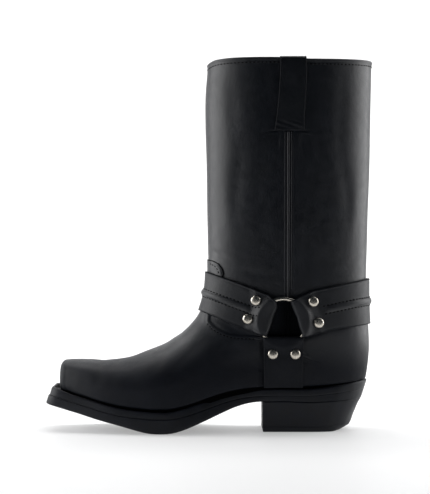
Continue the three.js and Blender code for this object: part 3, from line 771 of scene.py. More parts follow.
# The vamp with its tongue; the outline's first and last points lie ahead of the toe
AHEAD = TOE_X - 40
VAMP = [(AHEAD, -40)] + by_ring(
    (-0.95, -5), (-0.95, -0.61), (-1.82, -0.6), (-2.30, -0.55), (-2.62, -0.43), (-2.94, -0.25), (-3.16, 0),
    (-3.10, 0.7), (-2.80, 1.45), (-2.57, 1.96), (-2.62, 2.25), (-2.78, 2.48), (-3.02, 2.61), (-3.35, 2.67),
    (-4.6, 2.68)
) + [(AHEAD, RING_Z + 2.68 * RING_RADIUS)]
TONGUE_EDGE = by_ring(
    (-2.86, 1.32), (-2.66, 1.75), (-2.54, 2.05), (-2.59, 2.25), (-2.75, 2.47), (-2.99, 2.6), (-3.3, 2.66),
    (-3.42, 2.665)
)
COUNTER = by_ring(
    (0.6, -5), (6, -5), (6, 0.0), (4.0, 0.0), (3.2, -0.1), (1.9, -0.35), (0.6, -0.8)
)


def soft_fold(x, z, cx, cz, angle, length, width, depth):
    """Soft trough (or ridge, if depth is negative) along a line in the side view."""
    c, s = math.cos(math.radians(angle)), math.sin(math.radians(angle))
    along = ((x - cx) * c + (z - cz) * s) / length
    across = (-(x - cx) * s + (z - cz) * c) / width
    return -depth * np.exp(-along**2 * 2) * np.exp(-across**2 * 2)


# Creases placed one by one: x, z, angle, length, width, depth
CREASES = {
    OUTER: [
        (132, 153, 27, 15, 1.8, 0.35), (134, 147, 22, 17, 1.8, -0.3), (128, 144, 20, 18, 2.4, 0.3),
        (136, 163, 40, 16, 2.6, 0.25), (8, 168, -30, 16, 4, 0.4), (40, 150, -8, 26, 6, 0.3),
        (60, 283.4, 3, 7.0, 1.2, 0.30), (60, 281.4, 2, 6.0, 1.0, -0.2), (90, 283.6, -3, 7.0, 1.2, 0.30),
        (91, 281.4, -2, 6.0, 1.0, -0.2), (66.5, 274, 84, 11, 1.4, -0.45), (64, 272, 80, 11, 1.4, 0.4),
        (83.5, 274, 96, 12, 1.4, -0.45), (86.5, 272, 99, 12, 1.4, 0.4), (104, 262, 101, 26, 6, 0.3),
        (26, 235, 82, 60, 9, 0.55), (18, 205, 96, 40, 8, -0.35), (22, 300, 94, 50, 9, 0.4),
        (128, 235, 97, 60, 8, 0.5), (136, 205, 84, 45, 7, -0.4), (124, 300, 88, 50, 8, 0.4),
        (-103, 60, 80, 20, 7, 0.55), (-78, 56, 60, 26, 8, -0.25), (-46, 68, 52, 26, 6, 0.35),
        (-30, 62, 44, 30, 7, 0.3), (-14, 78, 40, 26, 7, 0.3), (20, 62, 12, 40, 9, 0.35),
    ],
    INNER: [
        (130, 158, 24, 20, 3.0, 0.5), (20, 165, -25, 22, 4, 0.5), (45, 235, 78, 60, 12, 0.6),
        (118, 245, 96, 70, 12, 0.6), (-103, 60, 80, 20, 7, 0.5), (-50, 66, 56, 28, 6, 0.45),
        (-20, 72, 42, 28, 7, 0.35),
    ],
}

# The collar's rim: shares of its length from the front, and how far it lies below the shaft's height
RIM_SHARES = np.array([0.0, 0.06, 0.16, 0.42, 0.62, 1.0])
RIM_DROPS = np.array([2.8, -0.2, -0.9, -0.5, 1.0, 0.0])


def collar_z(x):
    """Height of the collar's rim in the side view."""
    return SHAFT_HEIGHT - hermite((x - (BACK_X - SHAFT_LENGTH)) / SHAFT_LENGTH, RIM_SHARES, RIM_DROPS, True)


def line_z(x, line):
    """Height of a side-view line, given as points from left to right."""
    points = np.asarray(line, float)
    return np.interp(x, points[:, 0], points[:, 1])


def sole_line(rise):
    """Side-view line at a height over the sole's seat."""
    shares = np.linspace(0, 1, 200)
    return np.stack(sole_spots(shares, sole_thick(shares) + rise + FIT), axis=-1)


WELT_TOP = sole_line(WELT_HEIGHT)
LEDGE = sole_line(WELT_LEDGE)


# An overlay's edge rises between these distances inside its line, and a shallow groove follows it
EDGE_FROM, EDGE_TO = -1.3, 1.5
GROOVE_DEPTH, GROOVE_PLACE, GROOVE_WIDTH = 0.12, 3.0, 0.8

# The shaft's slow waves lie between these heights
WAVE_HEIGHT, WAVES_FROM, WAVES_TO = 0.35, (150, 200), (320, 345)


def upper_relief(points, t):
    """Height of the steps, folds and creases over the upper's plain form."""
    x, z = points[..., 0], points[..., 2]
    side = np.sign(np.sin(t) + 1e-9)
    edges = [outline_depth(x, z, outline) for outline in (VAMP, COUNTER)]
    height = OVERLAY * np.maximum(*[smooth_step(edge, EDGE_FROM, EDGE_TO) for edge in edges])
    for edge in edges:
        height = height - GROOVE_DEPTH * bell(edge, GROOVE_PLACE, GROOVE_WIDTH)
    for crease_side, creases in CREASES.items():
        for crease in creases:
            height = height + np.where(side == crease_side, soft_fold(x, z, *crease), 0)
    waves = WAVE_HEIGHT * np.sin(z / 23.0 + 1.3 * np.sin(t * 2.0)) * np.cos(t * 3.0 + z / 41.0)
    return height + waves * smooth_step(z, *WAVES_FROM) * fade(z, *WAVES_TO)


# The seam over the welt's lip, drawn in and painted dark as shade: the heights between which it ends, and
# how far it draws in
SEAM_ENDS, SEAM_DEPTH = (1.8, 3.8), 1.1


def seam_dent_and_painted_shade(points):
    """1 in the seam just over the welt's lip, 0 above it; the seam is drawn in, dull and painted near black
    as shade.
    """
    return fade(points[..., 2] - line_z(points[..., 0], WELT_TOP), *SEAM_ENDS)


# How dull the leather is: the foot, its toe as a share of that, and the spot inside the rings, which on the
# outer side is also painted darker as shade, more so toward the back
FOOT_DULL, TOE_SHARE = 0.62, 0.75
RING_SPOT_DULL_AND_SHADE, RING_SPOT_SHADE_RISE, INNER_SPOT_DULL = 0.74, 0.17, 0.5


def dull_and_window_painted_shade(points):
    """How dull the leather is: the foot's lower parts, and most of all the spot inside the ring, painted
    darker as shade on the outer side.
    """
    x, z = points[..., 0], points[..., 2]
    low = FOOT_DULL * fade(z, 55, 94) * (TOE_SHARE + (1 - TOE_SHARE) * smooth_step(x, -128, -92))
    outer = RING_SPOT_DULL_AND_SHADE + RING_SPOT_SHADE_RISE * smooth_step(x - RING_X, -9, 3)
    window_dull_and_shade = np.where(points[..., 1] < 0, outer, INNER_SPOT_DULL)
    away = np.hypot(x - RING_X, z - RING_Z)
    return np.maximum(low, window_dull_and_shade * fade(away, RING_RADIUS - 3, RING_RADIUS + 1))


def upper_angles(count):
    """Angles from back to back over the front, closer together beside the seams."""
    fine = np.linspace(-np.pi, np.pi, 4001)
    density = 1 + 1.6 * bell(np.abs(fine), np.pi / 2, 0.22)
    run = np.concatenate([[0], np.cumsum((density[1:] + density[:-1]) / 2)])
    return np.interp(np.linspace(0, run[-1], count), run, fine)


def cut_angle(w):
    """Largest angle of a section above the welt's ledge; pi where the section closes at the back."""
    fx, fz, bx, bz, _, _, _, low, _ = hermite(w, RUN, SECTIONS, False).T
    a = np.linspace(-1, 1, 400)
    x = bx[:, None] + (fx - bx)[:, None] * (a + 1) / 2
    z = bz[:, None] + (fz - bz)[:, None] * (a + 1) / 2
    above = z > line_z(x, LEDGE)
    first = np.argmax(above, axis=1)
    exact = np.empty(len(w))
    for i, k in enumerate(first):
        if k == 0:
            exact[i] = -1
            continue
        below, over_ledge = z[i, k - 1:k + 1] - line_z(x[i, k - 1:k + 1], LEDGE)
        exact[i] = a[k - 1] + (a[k] - a[k - 1]) * (-below) / (over_ledge - below)
    return np.where(exact <= -1, np.pi, np.arccos(-np.abs(exact) ** (low / 2)))


def edge_faces(outer, inner):
    """Faces between an edge of 2n + 1 points and one of n + 1 points."""
    faces = []
    for i in range(len(inner) - 1):
        a, b, c = outer[2 * i:2 * i + 3]
        faces += [[a, b, inner[i]], [b, inner[i + 1], inner[i]], [b, c, inner[i + 1]]]
    return faces


# Rows of SECTIONS where the grids of the upper and its bands begin or change their spacing
TOE_ROW, BALL_ROW, THROAT_ROW, NECK_ROW, COLLAR_ROW = 4, 8, 17, 25, 26
COLUMNS = 245


def run_at_height(z):
    """Run where the shaft's side stands at a height."""
    runs = np.linspace(RUN[THROAT_ROW], LAST_RUN, 600)
    return float(np.interp(z, last_point(runs, np.pi / 2)[:, 2], runs))


def upper_runs():
    """Runs of the upper's rows, closer together where the form turns and under the pull strap's foot."""
    foot = run_at_height(SHAFT_HEIGHT - PULL_LENGTH)
    stops = [0, RUN[TOE_ROW], RUN[THROAT_ROW], RUN[NECK_ROW], foot - 14, foot + 6]
    counts = [20, 88, 66, 26, 30]
    spans = [np.linspace(low, high, count, endpoint=False)
             for low, high, count in zip(stops, stops[1:], counts)]
    return np.concatenate(spans + [np.linspace(stops[-1], LAST_RUN, 30)])


def upper_grids():
    """Outer and inner points of the upper, the angle where each row ends, and the seam's share, which draws
    it in and paints it dark as shade.
    """
    runs = upper_runs()
    limit = cut_angle(runs)
    t = limit[:, None] / np.pi * upper_angles(COLUMNS)[None, :]
    w = np.broadcast_to(runs[:, None], t.shape).copy()
    base = last_point(w, t)
    over_rim = np.clip(base[..., 2] - collar_z(base[..., 0]), 0, None)
    base[..., 2] -= over_rim
    normal = last_normal(w, t)
    dull_and_painted_shade = seam_dent_and_painted_shade(base)
    outside = base + normal * (upper_relief(base, t) - SEAM_DEPTH * dull_and_painted_shade)[..., None]
    inside = base - normal * WALL
    keep = int(np.argmax((over_rim > 0).all(axis=1))) + 1
    outside, inside, dull_and_painted_shade = outside[:keep], inside[:keep], dull_and_painted_shade[:keep]
    centre, centre_in = outside[0, [0, -1]].mean(axis=0), inside[0, [0, -1]].mean(axis=0)
    inward = np.array([WALL, 0, 0])
    toe = [centre + (outside[0] - centre) * f - [bulge, 0, 0] for f, bulge in ((0.0, 0.5), (0.5, 0.42))]
    toe_in = [centre_in + (inside[0] - centre_in) * f + inward for f in (0.0, 0.5)]
    inside[0] = inside[0] + inward
    outside = np.concatenate([np.array(toe), outside])
    inside = np.concatenate([np.array(toe_in), inside])
    dull_and_painted_shade = np.concatenate([np.zeros((2, COLUMNS)), dull_and_painted_shade])
    limit = np.concatenate([[0, 0], limit])
    even = 1 - len(outside) % 2
    return outside[even:], inside[even:][::2, ::2], limit[even:], dull_and_painted_shade[even:]


def build_upper():
    outside, inside, limit, dull_and_painted_shade = upper_grids()
    rows, columns = outside.shape[:2]
    low_rows, low_columns = inside.shape[:2]
    count = rows * columns
    points = np.concatenate([outside.reshape(-1, 3), inside.reshape(-1, 3)])
    faces = grid_faces(rows, columns) + grid_faces(low_rows, low_columns, count, flip=True)
    faces += edge_faces([(rows - 1) * columns + c for c in range(columns)],
                        [count + (low_rows - 1) * low_columns + c for c in range(low_columns)])
    open_rows = (int((limit < np.pi).sum()) + 1) // 2
    for column, low_column in ((0, 0), (columns - 1, low_columns - 1)):
        faces += edge_faces([r * columns + column for r in range(2 * open_rows + 1)],
                            [count + r * low_columns + low_column for r in range(open_rows + 1)])
    piece = add_piece("upper_leather", points, faces, "upper", "oiled_leather", "upper")
    # The seam over the welt and the spot inside the ring get painted shade; the foot's lower parts are only
    # dull
    dullness_and_painted_shade = np.maximum(dull_and_painted_shade, dull_and_window_painted_shade(outside))
    set_dull_and_painted_shade(piece, np.concatenate([dullness_and_painted_shade.ravel(), np.zeros(low_rows * low_columns)]))
    piece.data.materials.append(MATERIALS["lining"])
    for face in piece.data.polygons:
        face.material_index = int(min(face.vertices) >= count)
    close_mesh(piece, WELD)


TURN = np.linspace(0, np.pi, 181)
BAND_W = np.linspace(RUN[BALL_ROW], LAST_RUN, 700)
BAND_FORM = last_point(BAND_W[None, :], TURN[:, None])


def runs_on_lines(bottom, top, shares):
    """Run for each angle of TURN and each share of the way from the bottom line to the top line."""
    x, z = BAND_FORM[..., 0], BAND_FORM[..., 2]
    low, high = line_z(x, bottom), line_z(x, top)
    level = np.maximum.accumulate((z - low) / (high - low), axis=1)
    return np.array([np.interp(shares, level[i], BAND_W) for i in range(len(TURN))])


def band_grid(bottom, top, end, shares, columns, front):
    """Runs and angles of a band that wraps the front or the back and ends at a side-view line."""
    spread = -np.cos(np.linspace(0, np.pi, columns))
    table = runs_on_lines(bottom, top, shares)
    where = last_point(table, TURN[:, None])
    ends = np.asarray(end, float)
    ends = ends[np.argsort(ends[:, 1])]
    gap = where[..., 0] - np.interp(where[..., 2], ends[:, 1], ends[:, 0])
    w = np.empty((len(shares), columns))
    t = np.empty_like(w)
    for j in range(len(shares)):
        order = slice(None) if np.all(np.diff(gap[:, j]) > 0) else np.argsort(gap[:, j])
        last = np.interp(0.0, gap[order, j], TURN[order])
        t[j] = spread * last if front else np.pi + spread * (np.pi - last)
        w[j] = np.interp(from_front(t[j]), TURN, table[:, j])
    return w, t


def from_front(t):
    """Angle from the front on either side, for angles up to a full turn."""
    return np.where(t > np.pi, 2 * np.pi - t, np.abs(t))


def crowd(count):
    """Shares from 0 to 1, close together at both ends."""
    return 0.5 - 0.5 * np.cos(np.linspace(0, np.pi, count))


def round_edge(depth, radius):
    """How much a rounded edge drops, by the distance from the edge."""
    e = np.clip(radius - depth, 0, radius)
    return radius - np.sqrt(np.maximum(radius * radius - e * e, 0))


STRAP_IN = OVERLAY + FIT
STRAP_OUT = STRAP_IN + STRAP_THICKNESS
FOLD_OUT = STRAP_OUT + STRAP_THICKNESS
RING_LIFT = STRAP_OUT + FIT + RING_WIRE / 2

FRONT_TOP = by_ring(
    (-4.6, 2.64), (-3.9, 2.38), (-3.16, 2.12), (-2.2, 1.78), (-1.34, 1.45), (-0.6, 1.16)
) + [ring_point(108)]
FRONT_BOTTOM = by_ring(
    (-4.6, 0.82), (-4.2, 0.66), (-3.64, 0.45), (-2.87, 0.15), (-2.16, -0.13), (-1.01, -0.53),
    (-0.2, -0.76)
)
FRONT_END = [ring_point(108), (63.6, 117.8), (61.0, 112.0), (58.2, 102.4), (56.2, 96.0),
             *by_ring((-0.66, -0.56))]
BACK_TOP = [ring_point(73)] + by_ring(
    (0.66, 1.07), (1.26, 1.34), (2.05, 1.50), (3.73, 1.85), (4.4, 1.99)
)
BACK_BOTTOM = by_ring(
    (0.2, -0.83), (0.9, -0.62), (1.78, -0.43), (2.61, -0.27), (3.84, -0.11), (4.4, -0.02)
)
BACK_END = [ring_point(73), (77.9, 116.2), (81.4, 108.6), (83.7, 99.6), ring_point(-33)]
FRONT_STRIP = by_ring((-4.6, 1.68), (-4, 1.46), (-1.86, 0.69), (-1.2, 0.46))
BACK_STRIP = by_ring((1.7, 0.50), (1.8, 0.53), (3.0, 0.77), (4.4, 0.95))
SIDE_HALF = 0.835 * RING_RADIUS
STRIP_HALF = TRIM_WIDTH * 0.46

# A strap's fold thins out between these distances from its end in the ring; the side strap's is longer
FOLD_FROM, FOLD_TO, SIDE_FOLD_TO = 16.0, 24.0, 44.0

# Radius of a strap's cut edges and of its folded ends, and the line pressed beside each edge
CUT_RADIUS, END_RADIUS, SIDE_END_RADIUS = 0.7, 3.4, 3.0
LINE_DEPTH, LINE_PLACE, LINE_WIDTH = 0.18, 2.2, 0.6

# The loop over the ring stands clear of the wire by this much, and thins out over the next stretch
LOOP_ROOM, LOOP_REACH = 0.3, 4.6

# Gap between the side strap's lower end and the welt
SIDE_GAP = 2.0

# How dull the straps are: at their cut edges, on their faces, underneath, and the side straps; at the cut
# edges and underneath the colour is also painted darker as shade
CUT_DULL_AND_SHADE, FACE_DULL, UNDER_DULL_AND_SHADE = 0.8, 0.14, 0.8
SIDE_DULL = {OUTER: 0.62, INNER: 0.4}


def chord_depth(x, z, ends):
    """Distance from the fold inside the ring, positive away from the ring's middle."""
    line = np.asarray(sorted(ends, key=lambda p: p[1]), float)
    return np.abs(x - np.interp(z, line[:, 1], line[:, 0])) * 0.94


def strap_height(x, z, depth, fold_to=FOLD_TO):
    """Height of a strap over the upper's form near the ring that it holds."""
    away = np.hypot(x - RING_X, z - RING_Z)
    height = STRAP_OUT + STRAP_THICKNESS * fade(depth, FOLD_FROM, fold_to)
    loop = RING_LIFT + RING_WIRE / 2 + STRAP_THICKNESS - FOLD_OUT + LOOP_ROOM
    beside = np.maximum(away - RING_RADIUS - 0.6, 0)
    hollow = 0.35 * bell(away, RING_RADIUS - 6.5, 3.2)
    return height + (loop * bell(beside, 0, LOOP_REACH) - hollow)


def strap_face(x, z, edge, depth, fold_to, end_radius):
    """Height of a strap's face with rounded edges and a line pressed beside them."""
    rounding = round_edge(edge, CUT_RADIUS) + round_edge(depth, end_radius)
    return strap_height(x, z, depth, fold_to) - rounding - LINE_DEPTH * bell(edge, LINE_PLACE, LINE_WIDTH)


def laid(base, normal, low, high):
    """Sheet between two heights over the upper's form."""
    return slab(*[base + normal * np.asarray(height)[..., None] for height in (low, high)])


def strap_piece(name, bottom, top, end, front, node):
    shares = crowd(46)
    w, t = band_grid(bottom, top, end, shares, 300, front)
    base = last_point(w, t)
    x, z = base[..., 0], base[..., 2]
    edge = np.minimum(shares, 1 - shares)[:, None] * (line_z(x, top) - line_z(x, bottom))
    height = strap_face(x, z, edge, chord_depth(x, z, end), FOLD_TO, END_RADIUS)
    sheet = laid(base, last_normal(w, t), STRAP_IN, height)
    # Painted shade: the cut edges and the underside are dull and painted darker
    edge_painted_shade = np.maximum(CUT_DULL_AND_SHADE * bell(edge, 0, 1.1), FACE_DULL)
    add_solid(name, *sheet, "strap", "strap_leather", node, np.stack([edge_painted_shade, np.full(edge_painted_shade.shape, UNDER_DULL_AND_SHADE)]))


def strip_height(share, from_end):
    """Section of the raised strip, lower toward its end beside the ring."""
    tall = smooth_step(from_end, -0.5, 6.0) * (0.4 + 0.6 * smooth_step(from_end, 12.0, 48.0))
    return np.sin(np.pi * share) ** 0.6 * tall


def shifted(line, rise):
    return [(x, z + rise) for x, z in line]


def trim_piece(name, line, end_share, front, node, strap_end):
    shares = crowd(19)
    end = by_ring((end_share, 2), (end_share, -1))
    w, t = band_grid(shifted(line, -STRIP_HALF), shifted(line, STRIP_HALF), end, shares, 240, front)
    base = last_point(w, t)
    x, z = base[..., 0], base[..., 2]
    strap = strap_height(x, z, chord_depth(x, z, strap_end))
    from_end = np.abs(x - end[0][0])
    height = strap + 0.02 + TRIM_THICKNESS * 0.9 * strip_height(shares[:, None], from_end)
    add_solid(name, *laid(base, last_normal(w, t), strap - 0.2, height), "strap", "strap_leather", node)


def side_strap_piece(name, side, node):
    top = ring_point(221)[1]
    shares = crowd(40)[None, :]
    ups = np.concatenate([np.linspace(0, 0.5, 30, endpoint=False), crowd(101)[50:]])[:, None]
    x = RING_X + SIDE_HALF * (2 * shares - 1) + 0 * ups
    floor_line = line_z(x, WELT_TOP) + SIDE_GAP
    z = floor_line + (top - floor_line) * ups
    edge = np.minimum(shares, 1 - shares) * 2 * SIDE_HALF
    height = strap_face(x, z, edge, top - z, SIDE_FOLD_TO, SIDE_END_RADIUS)
    points, faces = laid(*on_form(x, z, side), STRAP_IN, height)
    add_solid(name, points, faces, "strap", "strap_leather", node, np.full(len(points), SIDE_DULL[side]))


def ring_piece(name, side, node):
    base, normal = on_form(RING_X, RING_Z, side)
    y = float((base + normal * STRAP_OUT)[1]) + side * (FIT + RING_WIRE / 2)
    u = np.linspace(0, 2 * np.pi, 120, endpoint=False)[:, None]
    v = np.linspace(0, 2 * np.pi, 20, endpoint=False)[None, :]
    reach = RING_RADIUS + RING_WIRE / 2 * np.cos(v)
    points = np.stack([RING_X + reach * np.cos(u), y + RING_WIRE / 2 * np.sin(v) + 0 * u,
                       RING_Z + reach * np.sin(u)], axis=-1)
    points = np.concatenate([points, points[:1]]).reshape(-1, 3)
    add_solid(name, points, grid_faces(u.size + 1, v.size, closed=True), "metal", "nickel", node, weld=WELD)


RIVETS = [(-1.13, 0.93), (-1.47, 0.13), (1.25, 0.88), (1.48, -0.02), (-0.45, -1.36), (0.50, -1.36)]

# A rivet's cap from its middle: shares of its radius and of its height
RIVET_PROFILE = [(0.25, 0.992), (0.45, 0.965), (0.62, 0.91), (0.76, 0.80), (0.87, 0.64), (0.95, 0.42),
                 (0.99, 0.2), (1.0, 0.05), (0.97, 0.0), (0.9, -0.04)]


def rivet_piece(name, spot, side, node):
    base, normal = on_form(*by_ring(spot)[0], side)
    base = base + normal * (FOLD_OUT + FIT + 0.4)
    across = np.cross(normal, [0, 0, 1.0])
    across /= np.linalg.norm(across)
    up = np.cross(across, normal)
    turns = np.linspace(0, 2 * np.pi, 36, endpoint=False)[:, None]
    circle = np.cos(turns) * across + np.sin(turns) * up
    rings = [base + circle * reach * RIVET_RADIUS + normal * rise * RIVET_HEIGHT
             for reach, rise in RIVET_PROFILE]
    points = np.concatenate([[base + normal * RIVET_HEIGHT]] + rings)
    count = len(turns)
    faces = [[0, 1 + i, 1 + (i + 1) % count] for i in range(count)]
    faces += grid_faces(len(rings), count, start=1, closed=True)
    faces.append(list(range(len(points) - count, len(points)))[::-1])
    add_solid(name, points, faces, "metal", "nickel", node)


# The pull strap's edges in the side view, by height
PULL_LEFT = [(284.3, 60.6), (295.0, 62.2), (313.8, 64.1), (335.4, 65.7), (354.0, 65.9)]
PULL_RIGHT = [(284.3, 89.1), (295.0, 88.6), (313.8, 89.8), (335.4, 90.9), (354.0, 90.4)]


def profile_sheet(profile, thickness):
    """Two lines beside a line of (distance, height), half a thickness to either side."""
    line = np.asarray(profile, float)
    along = np.gradient(line, axis=0)
    along /= np.linalg.norm(along, axis=1, keepdims=True)
    normal = np.stack([along[:, 1], -along[:, 0]], axis=-1)
    return line + normal * thickness / 2, line - normal * thickness / 2


# The pull strap lies flat up to here, and then swings out over this height, by this much, to clear the rim
PULL_FLAT, PULL_SWING, PULL_OUT = SHAFT_HEIGHT - 30.0, 24.0, 0.9


def pull_profile(foot):
    """The pull strap's middle line from its outer foot over the rim to its inner end: (distance, height)."""
    half = PULL_THICKNESS / 2
    out, proud, back = FIT + half, FIT + PULL_OUT + half, -WALL - FIT - half
    profile = [(out, z) for z in np.linspace(foot, PULL_FLAT, 38)]
    profile += [(out + (proud - out) * f * f * (3 - 2 * f), PULL_FLAT + PULL_SWING * f)
                for f in np.linspace(0, 1, 13)[1:]]
    centre, reach = -WALL / 2, proud + WALL / 2
    profile += [(centre + reach * np.cos(angle), SHAFT_HEIGHT - 0.35 + 1.7 * np.sin(angle))
                for angle in np.linspace(0, np.pi, 17)]
    deep = back - (proud - out)
    profile += [(deep + (back - deep) * f * f * (3 - 2 * f), SHAFT_HEIGHT - 5.5 - 5.5 * f)
                for f in (0, 0.25, 0.5, 0.75, 1)]
    return profile + [(back, z) for z in np.linspace(SHAFT_HEIGHT - 15, foot + 2, 24)]


def pull_piece(name, side, node):
    foot = SHAFT_HEIGHT - PULL_LENGTH
    outer, inner = profile_sheet(pull_profile(foot), PULL_THICKNESS)
    shares = crowd(27)
    sheets = []
    for line, sign in ((inner, -1), (outer, 1)):
        d, z = line[:, 0][:, None], line[:, 1][:, None]
        left = np.interp(z, *zip(*PULL_LEFT))
        right = np.interp(z, *zip(*PULL_RIGHT))
        x = left + (right - left) * shares[None, :]
        z = z + 0 * x
        edge = np.minimum(shares, 1 - shares)[None, :] * (right - left)
        ridge = 0.16 * bell(edge, 0.9, 0.5) if sign > 0 else 0
        pucker = 0.5 * np.sin(x * 0.31 + (z - foot) * 0.55 + 1.1) * np.sin((z - foot) * 0.7 + x * 0.17)
        pucker = pucker * bell(z, foot + 5.5, 4.0)
        d = d - sign * round_edge(edge, 0.8) * (d > -WALL / 2) + (ridge + pucker) * (d > 0)
        base, normal = on_form(x, np.minimum(z, SHAFT_HEIGHT), side)
        place = base + normal * d[..., None]
        place[..., 2] = z
        sheets.append(place)
    # Painted shade: the pull strap's cut edges and foot are dull and painted darker; its inner face is a
    # little dull
    edge_painted_shade = 0.85 * bell(np.minimum(edge, (z - foot) * 0.9 + 0.2), 0, 0.8)
    add_solid(name, *slab(*sheets), "strap", "trim_leather", node, np.stack([edge_painted_shade, np.maximum(edge_painted_shade, 0.3)]))


PIPING_X = RING_X + 0.058 * SHAFT_WIDTH

# The side seam across: offset from the piping's middle and height over the upper
SEAM_PROFILE = [
    (-4.8, -0.25), (-4.2, 0.12), (-3.6, 0.38), (-3.1, 0.40), (-2.7, 0.15), (-2.4, -0.05), (-2.0, 0.0),
    (-1.75, 0.5), (-1.35, 1.05), (-0.8, 1.33), (-0.25, 1.33), (0.25, 1.0), (0.6, 0.4), (0.8, 0.02),
    (1.1, 0.02), (1.35, 0.45), (1.8, 0.62), (2.2, 0.5), (2.5, 0.05), (2.8, -0.02), (3.2, 0.12),
    (3.9, 0.1), (4.8, -0.25),
]


def piping_piece(name, side, node):
    offset, rise = np.array(SEAM_PROFILE).T
    z = np.linspace(RING_Z - RING_RADIUS * 0.55, SHAFT_HEIGHT - PULL_LENGTH - FIT, 170)[:, None]
    x = PIPING_X + offset + 0 * z
    w, t = locate(x, z, side)
    base = last_point(w, t)
    relief = upper_relief(base, t)
    points, faces = laid(base, last_normal(w, t), relief - 0.6, relief + rise)
    # Inside the ring the piping is painted darker as shade, like the upper there
    add_solid(name, points, faces, "upper", "trim_leather", node, np.maximum(dull_and_window_painted_shade(points), 0.25))


RIM_T = np.linspace(-np.pi, np.pi, 281)[:-1]


def on_rim(drop):
    """Points of the form and outward directions at a drop below the collar's rim."""
    runs = np.linspace(RUN[COLLAR_ROW], LAST_RUN, 300)
    form = last_point(runs[None, :], np.abs(RIM_T)[:, None])
    gap = form[..., 2] - collar_z(form[..., 0]) + drop
    w = np.array([np.interp(0.0, row, runs) for row in gap])
    return last_point(w, RIM_T), last_normal(w, RIM_T)


def collar_piece():
    thick, back = BINDING_THICKNESS, -WALL - BINDING_THICKNESS
    profile = [
        (0.02, BINDING_DEPTH), (0.06, BINDING_DEPTH - 0.15), (0.16, 3.6), (0.24, 2.4), (0.5, 1.6),
        (thick, 0.8), (thick - 0.1, 0.2), (thick - 0.6, -0.6), (-0.2, -thick), (-WALL + 0.2, -thick),
        (back + 0.7, -0.7), (back + 0.15, 0.2), (back, 1.0), (back, BINDING_DEPTH),
        (-WALL - 0.02, BINDING_DEPTH), (-WALL - 0.02, 1.0), (-WALL, -0.1), (0, -0.1), (0.02, 1.0),
        (0.02, BINDING_DEPTH),
    ]
    rows = []
    for distance, drop in profile:
        base, normal = on_rim(max(drop, 0))
        point = base + normal * distance
        point[:, 2] += max(-drop, 0)
        rows.append(point)
    points = np.concatenate(rows)
    faces = grid_faces(len(rows), len(RIM_T), closed=True)
    add_solid("collar_roll", points, faces, "upper", "trim_leather", "collar_binding", weld=WELD)


# Stitches: pitch, length, width, height

STRIP_STITCH = (3.8, 2.2, 1.3, 0.5)
RIM_STITCH = (3.8, 2.1, 1.1, 0.4)
VAMP_STITCH = (3.4, 1.9, 1.15, 0.4)
TONGUE_STITCH = (0.9, 1.4, 1.1, 0.5)


def bead(length, width, height):
    """A small rounded stitch along X with its top up Z."""
    u = np.linspace(0, 2 * np.pi, 9)[:-1]
    rings = []
    for v in (-1, -0.8, 0, 0.8, 1):
        draw = math.sqrt(max(1 - v * v, 0.04))
        ring = [0 * u + v * length / 2, np.cos(u) * width / 2 * draw, np.sin(u) * height * draw]
        rings.append(np.stack(ring, axis=-1))
    points = np.concatenate(rings)
    faces = grid_faces(len(rings), 8, closed=True)
    faces += [list(range(8))[::-1], list(range(32, 40))]
    return points, faces


def along_run(values, run, at):
    return np.array([np.interp(at, run, column) for column in values.T])


def run_of(points):
    """Length along a line up to each of its points."""
    return np.concatenate([[0], np.cumsum(np.linalg.norm(np.diff(points, axis=0), axis=1))])


def stitch_row(points, normals, pitch, length, width, height):
    """Beads spaced evenly along a line of points."""
    run = run_of(points)
    count = max(int(run[-1] / pitch), 1)
    template, faces = bead(length, width, height)
    parts = []
    for s in (np.arange(count) + 0.5) * run[-1] / count:
        normal = along_run(normals, run, s)
        normal /= np.linalg.norm(normal)
        along = along_run(points, run, s + 0.5) - along_run(points, run, s - 0.5)
        along -= normal * along.dot(normal)
        along /= np.linalg.norm(along)
        turned = template @ np.stack([along, np.cross(normal, along), normal])
        parts.append((along_run(points, run, s) + turned, faces))
    return joined(parts)


def seen_line(points, side, height):
    """A line drawn in the side view, laid on the upper at a height over its form."""
    line = np.asarray(points, float)
    run = run_of(line)
    base, normal = on_form(*along_run(line, run, np.linspace(0, run[-1], 160)), side)
    return base + normal * height, normal


def line_runs(line):
    """Run at each angle of TURN where the form meets a side-view line."""
    return runs_on_lines(shifted(line, -1), shifted(line, 1), [0.5])[:, 0]


def strip_row(strip, shift, x_end, strap_end):
    """Stitches beside a raised strip, round the front or the back, up to a place along the boot."""
    table = line_runs(shifted(strip, shift))
    reach = float(np.interp(x_end, last_point(table, TURN)[:, 0], TURN))
    ends = (-reach, reach) if strip is FRONT_STRIP else (reach, 2 * np.pi - reach)
    t = np.linspace(*ends, 400)
    w = np.interp(from_front(t), TURN, table)
    base, normal = last_point(w, t), last_normal(w, t)
    x, z = base[:, 0], base[:, 2]
    lift = strap_height(x, z, chord_depth(x, z, strap_end))
    return stitch_row(base + normal * lift[:, None], normal, *STRIP_STITCH)


VAMP_ROWS = [
    by_ring((-1.2, -0.74), (-1.82, -0.73), (-2.33, -0.68), (-2.68, -0.55), (-3.02, -0.36), (-3.25, -0.1)),
    by_ring((-2.92, 1.45), (-2.71, 1.92), (-2.76, 2.2), (-2.9, 2.38), (-3.1, 2.49)),
]


def stitches():
    off = STRIP_HALF + 0.45
    parts = [strip_row(FRONT_STRIP, off, 49.0, FRONT_END), strip_row(FRONT_STRIP, -off, 47.0, FRONT_END),
             strip_row(BACK_STRIP, off, 105.0, BACK_END), strip_row(BACK_STRIP, -off, 107.0, BACK_END)]
    base, normal = on_rim(4.4)
    parts.append(stitch_row(base + normal * 0.15, normal, *RIM_STITCH))
    for side in (OUTER, INNER):
        for row in VAMP_ROWS:
            parts.append(stitch_row(*seen_line(row, side, OVERLAY), *VAMP_STITCH))
        parts.append(stitch_row(*seen_line(TONGUE_EDGE, side, OVERLAY * 0.5), *TONGUE_STITCH))
    add_piece("stitches", *joined(parts), "thread", "trim_leather")


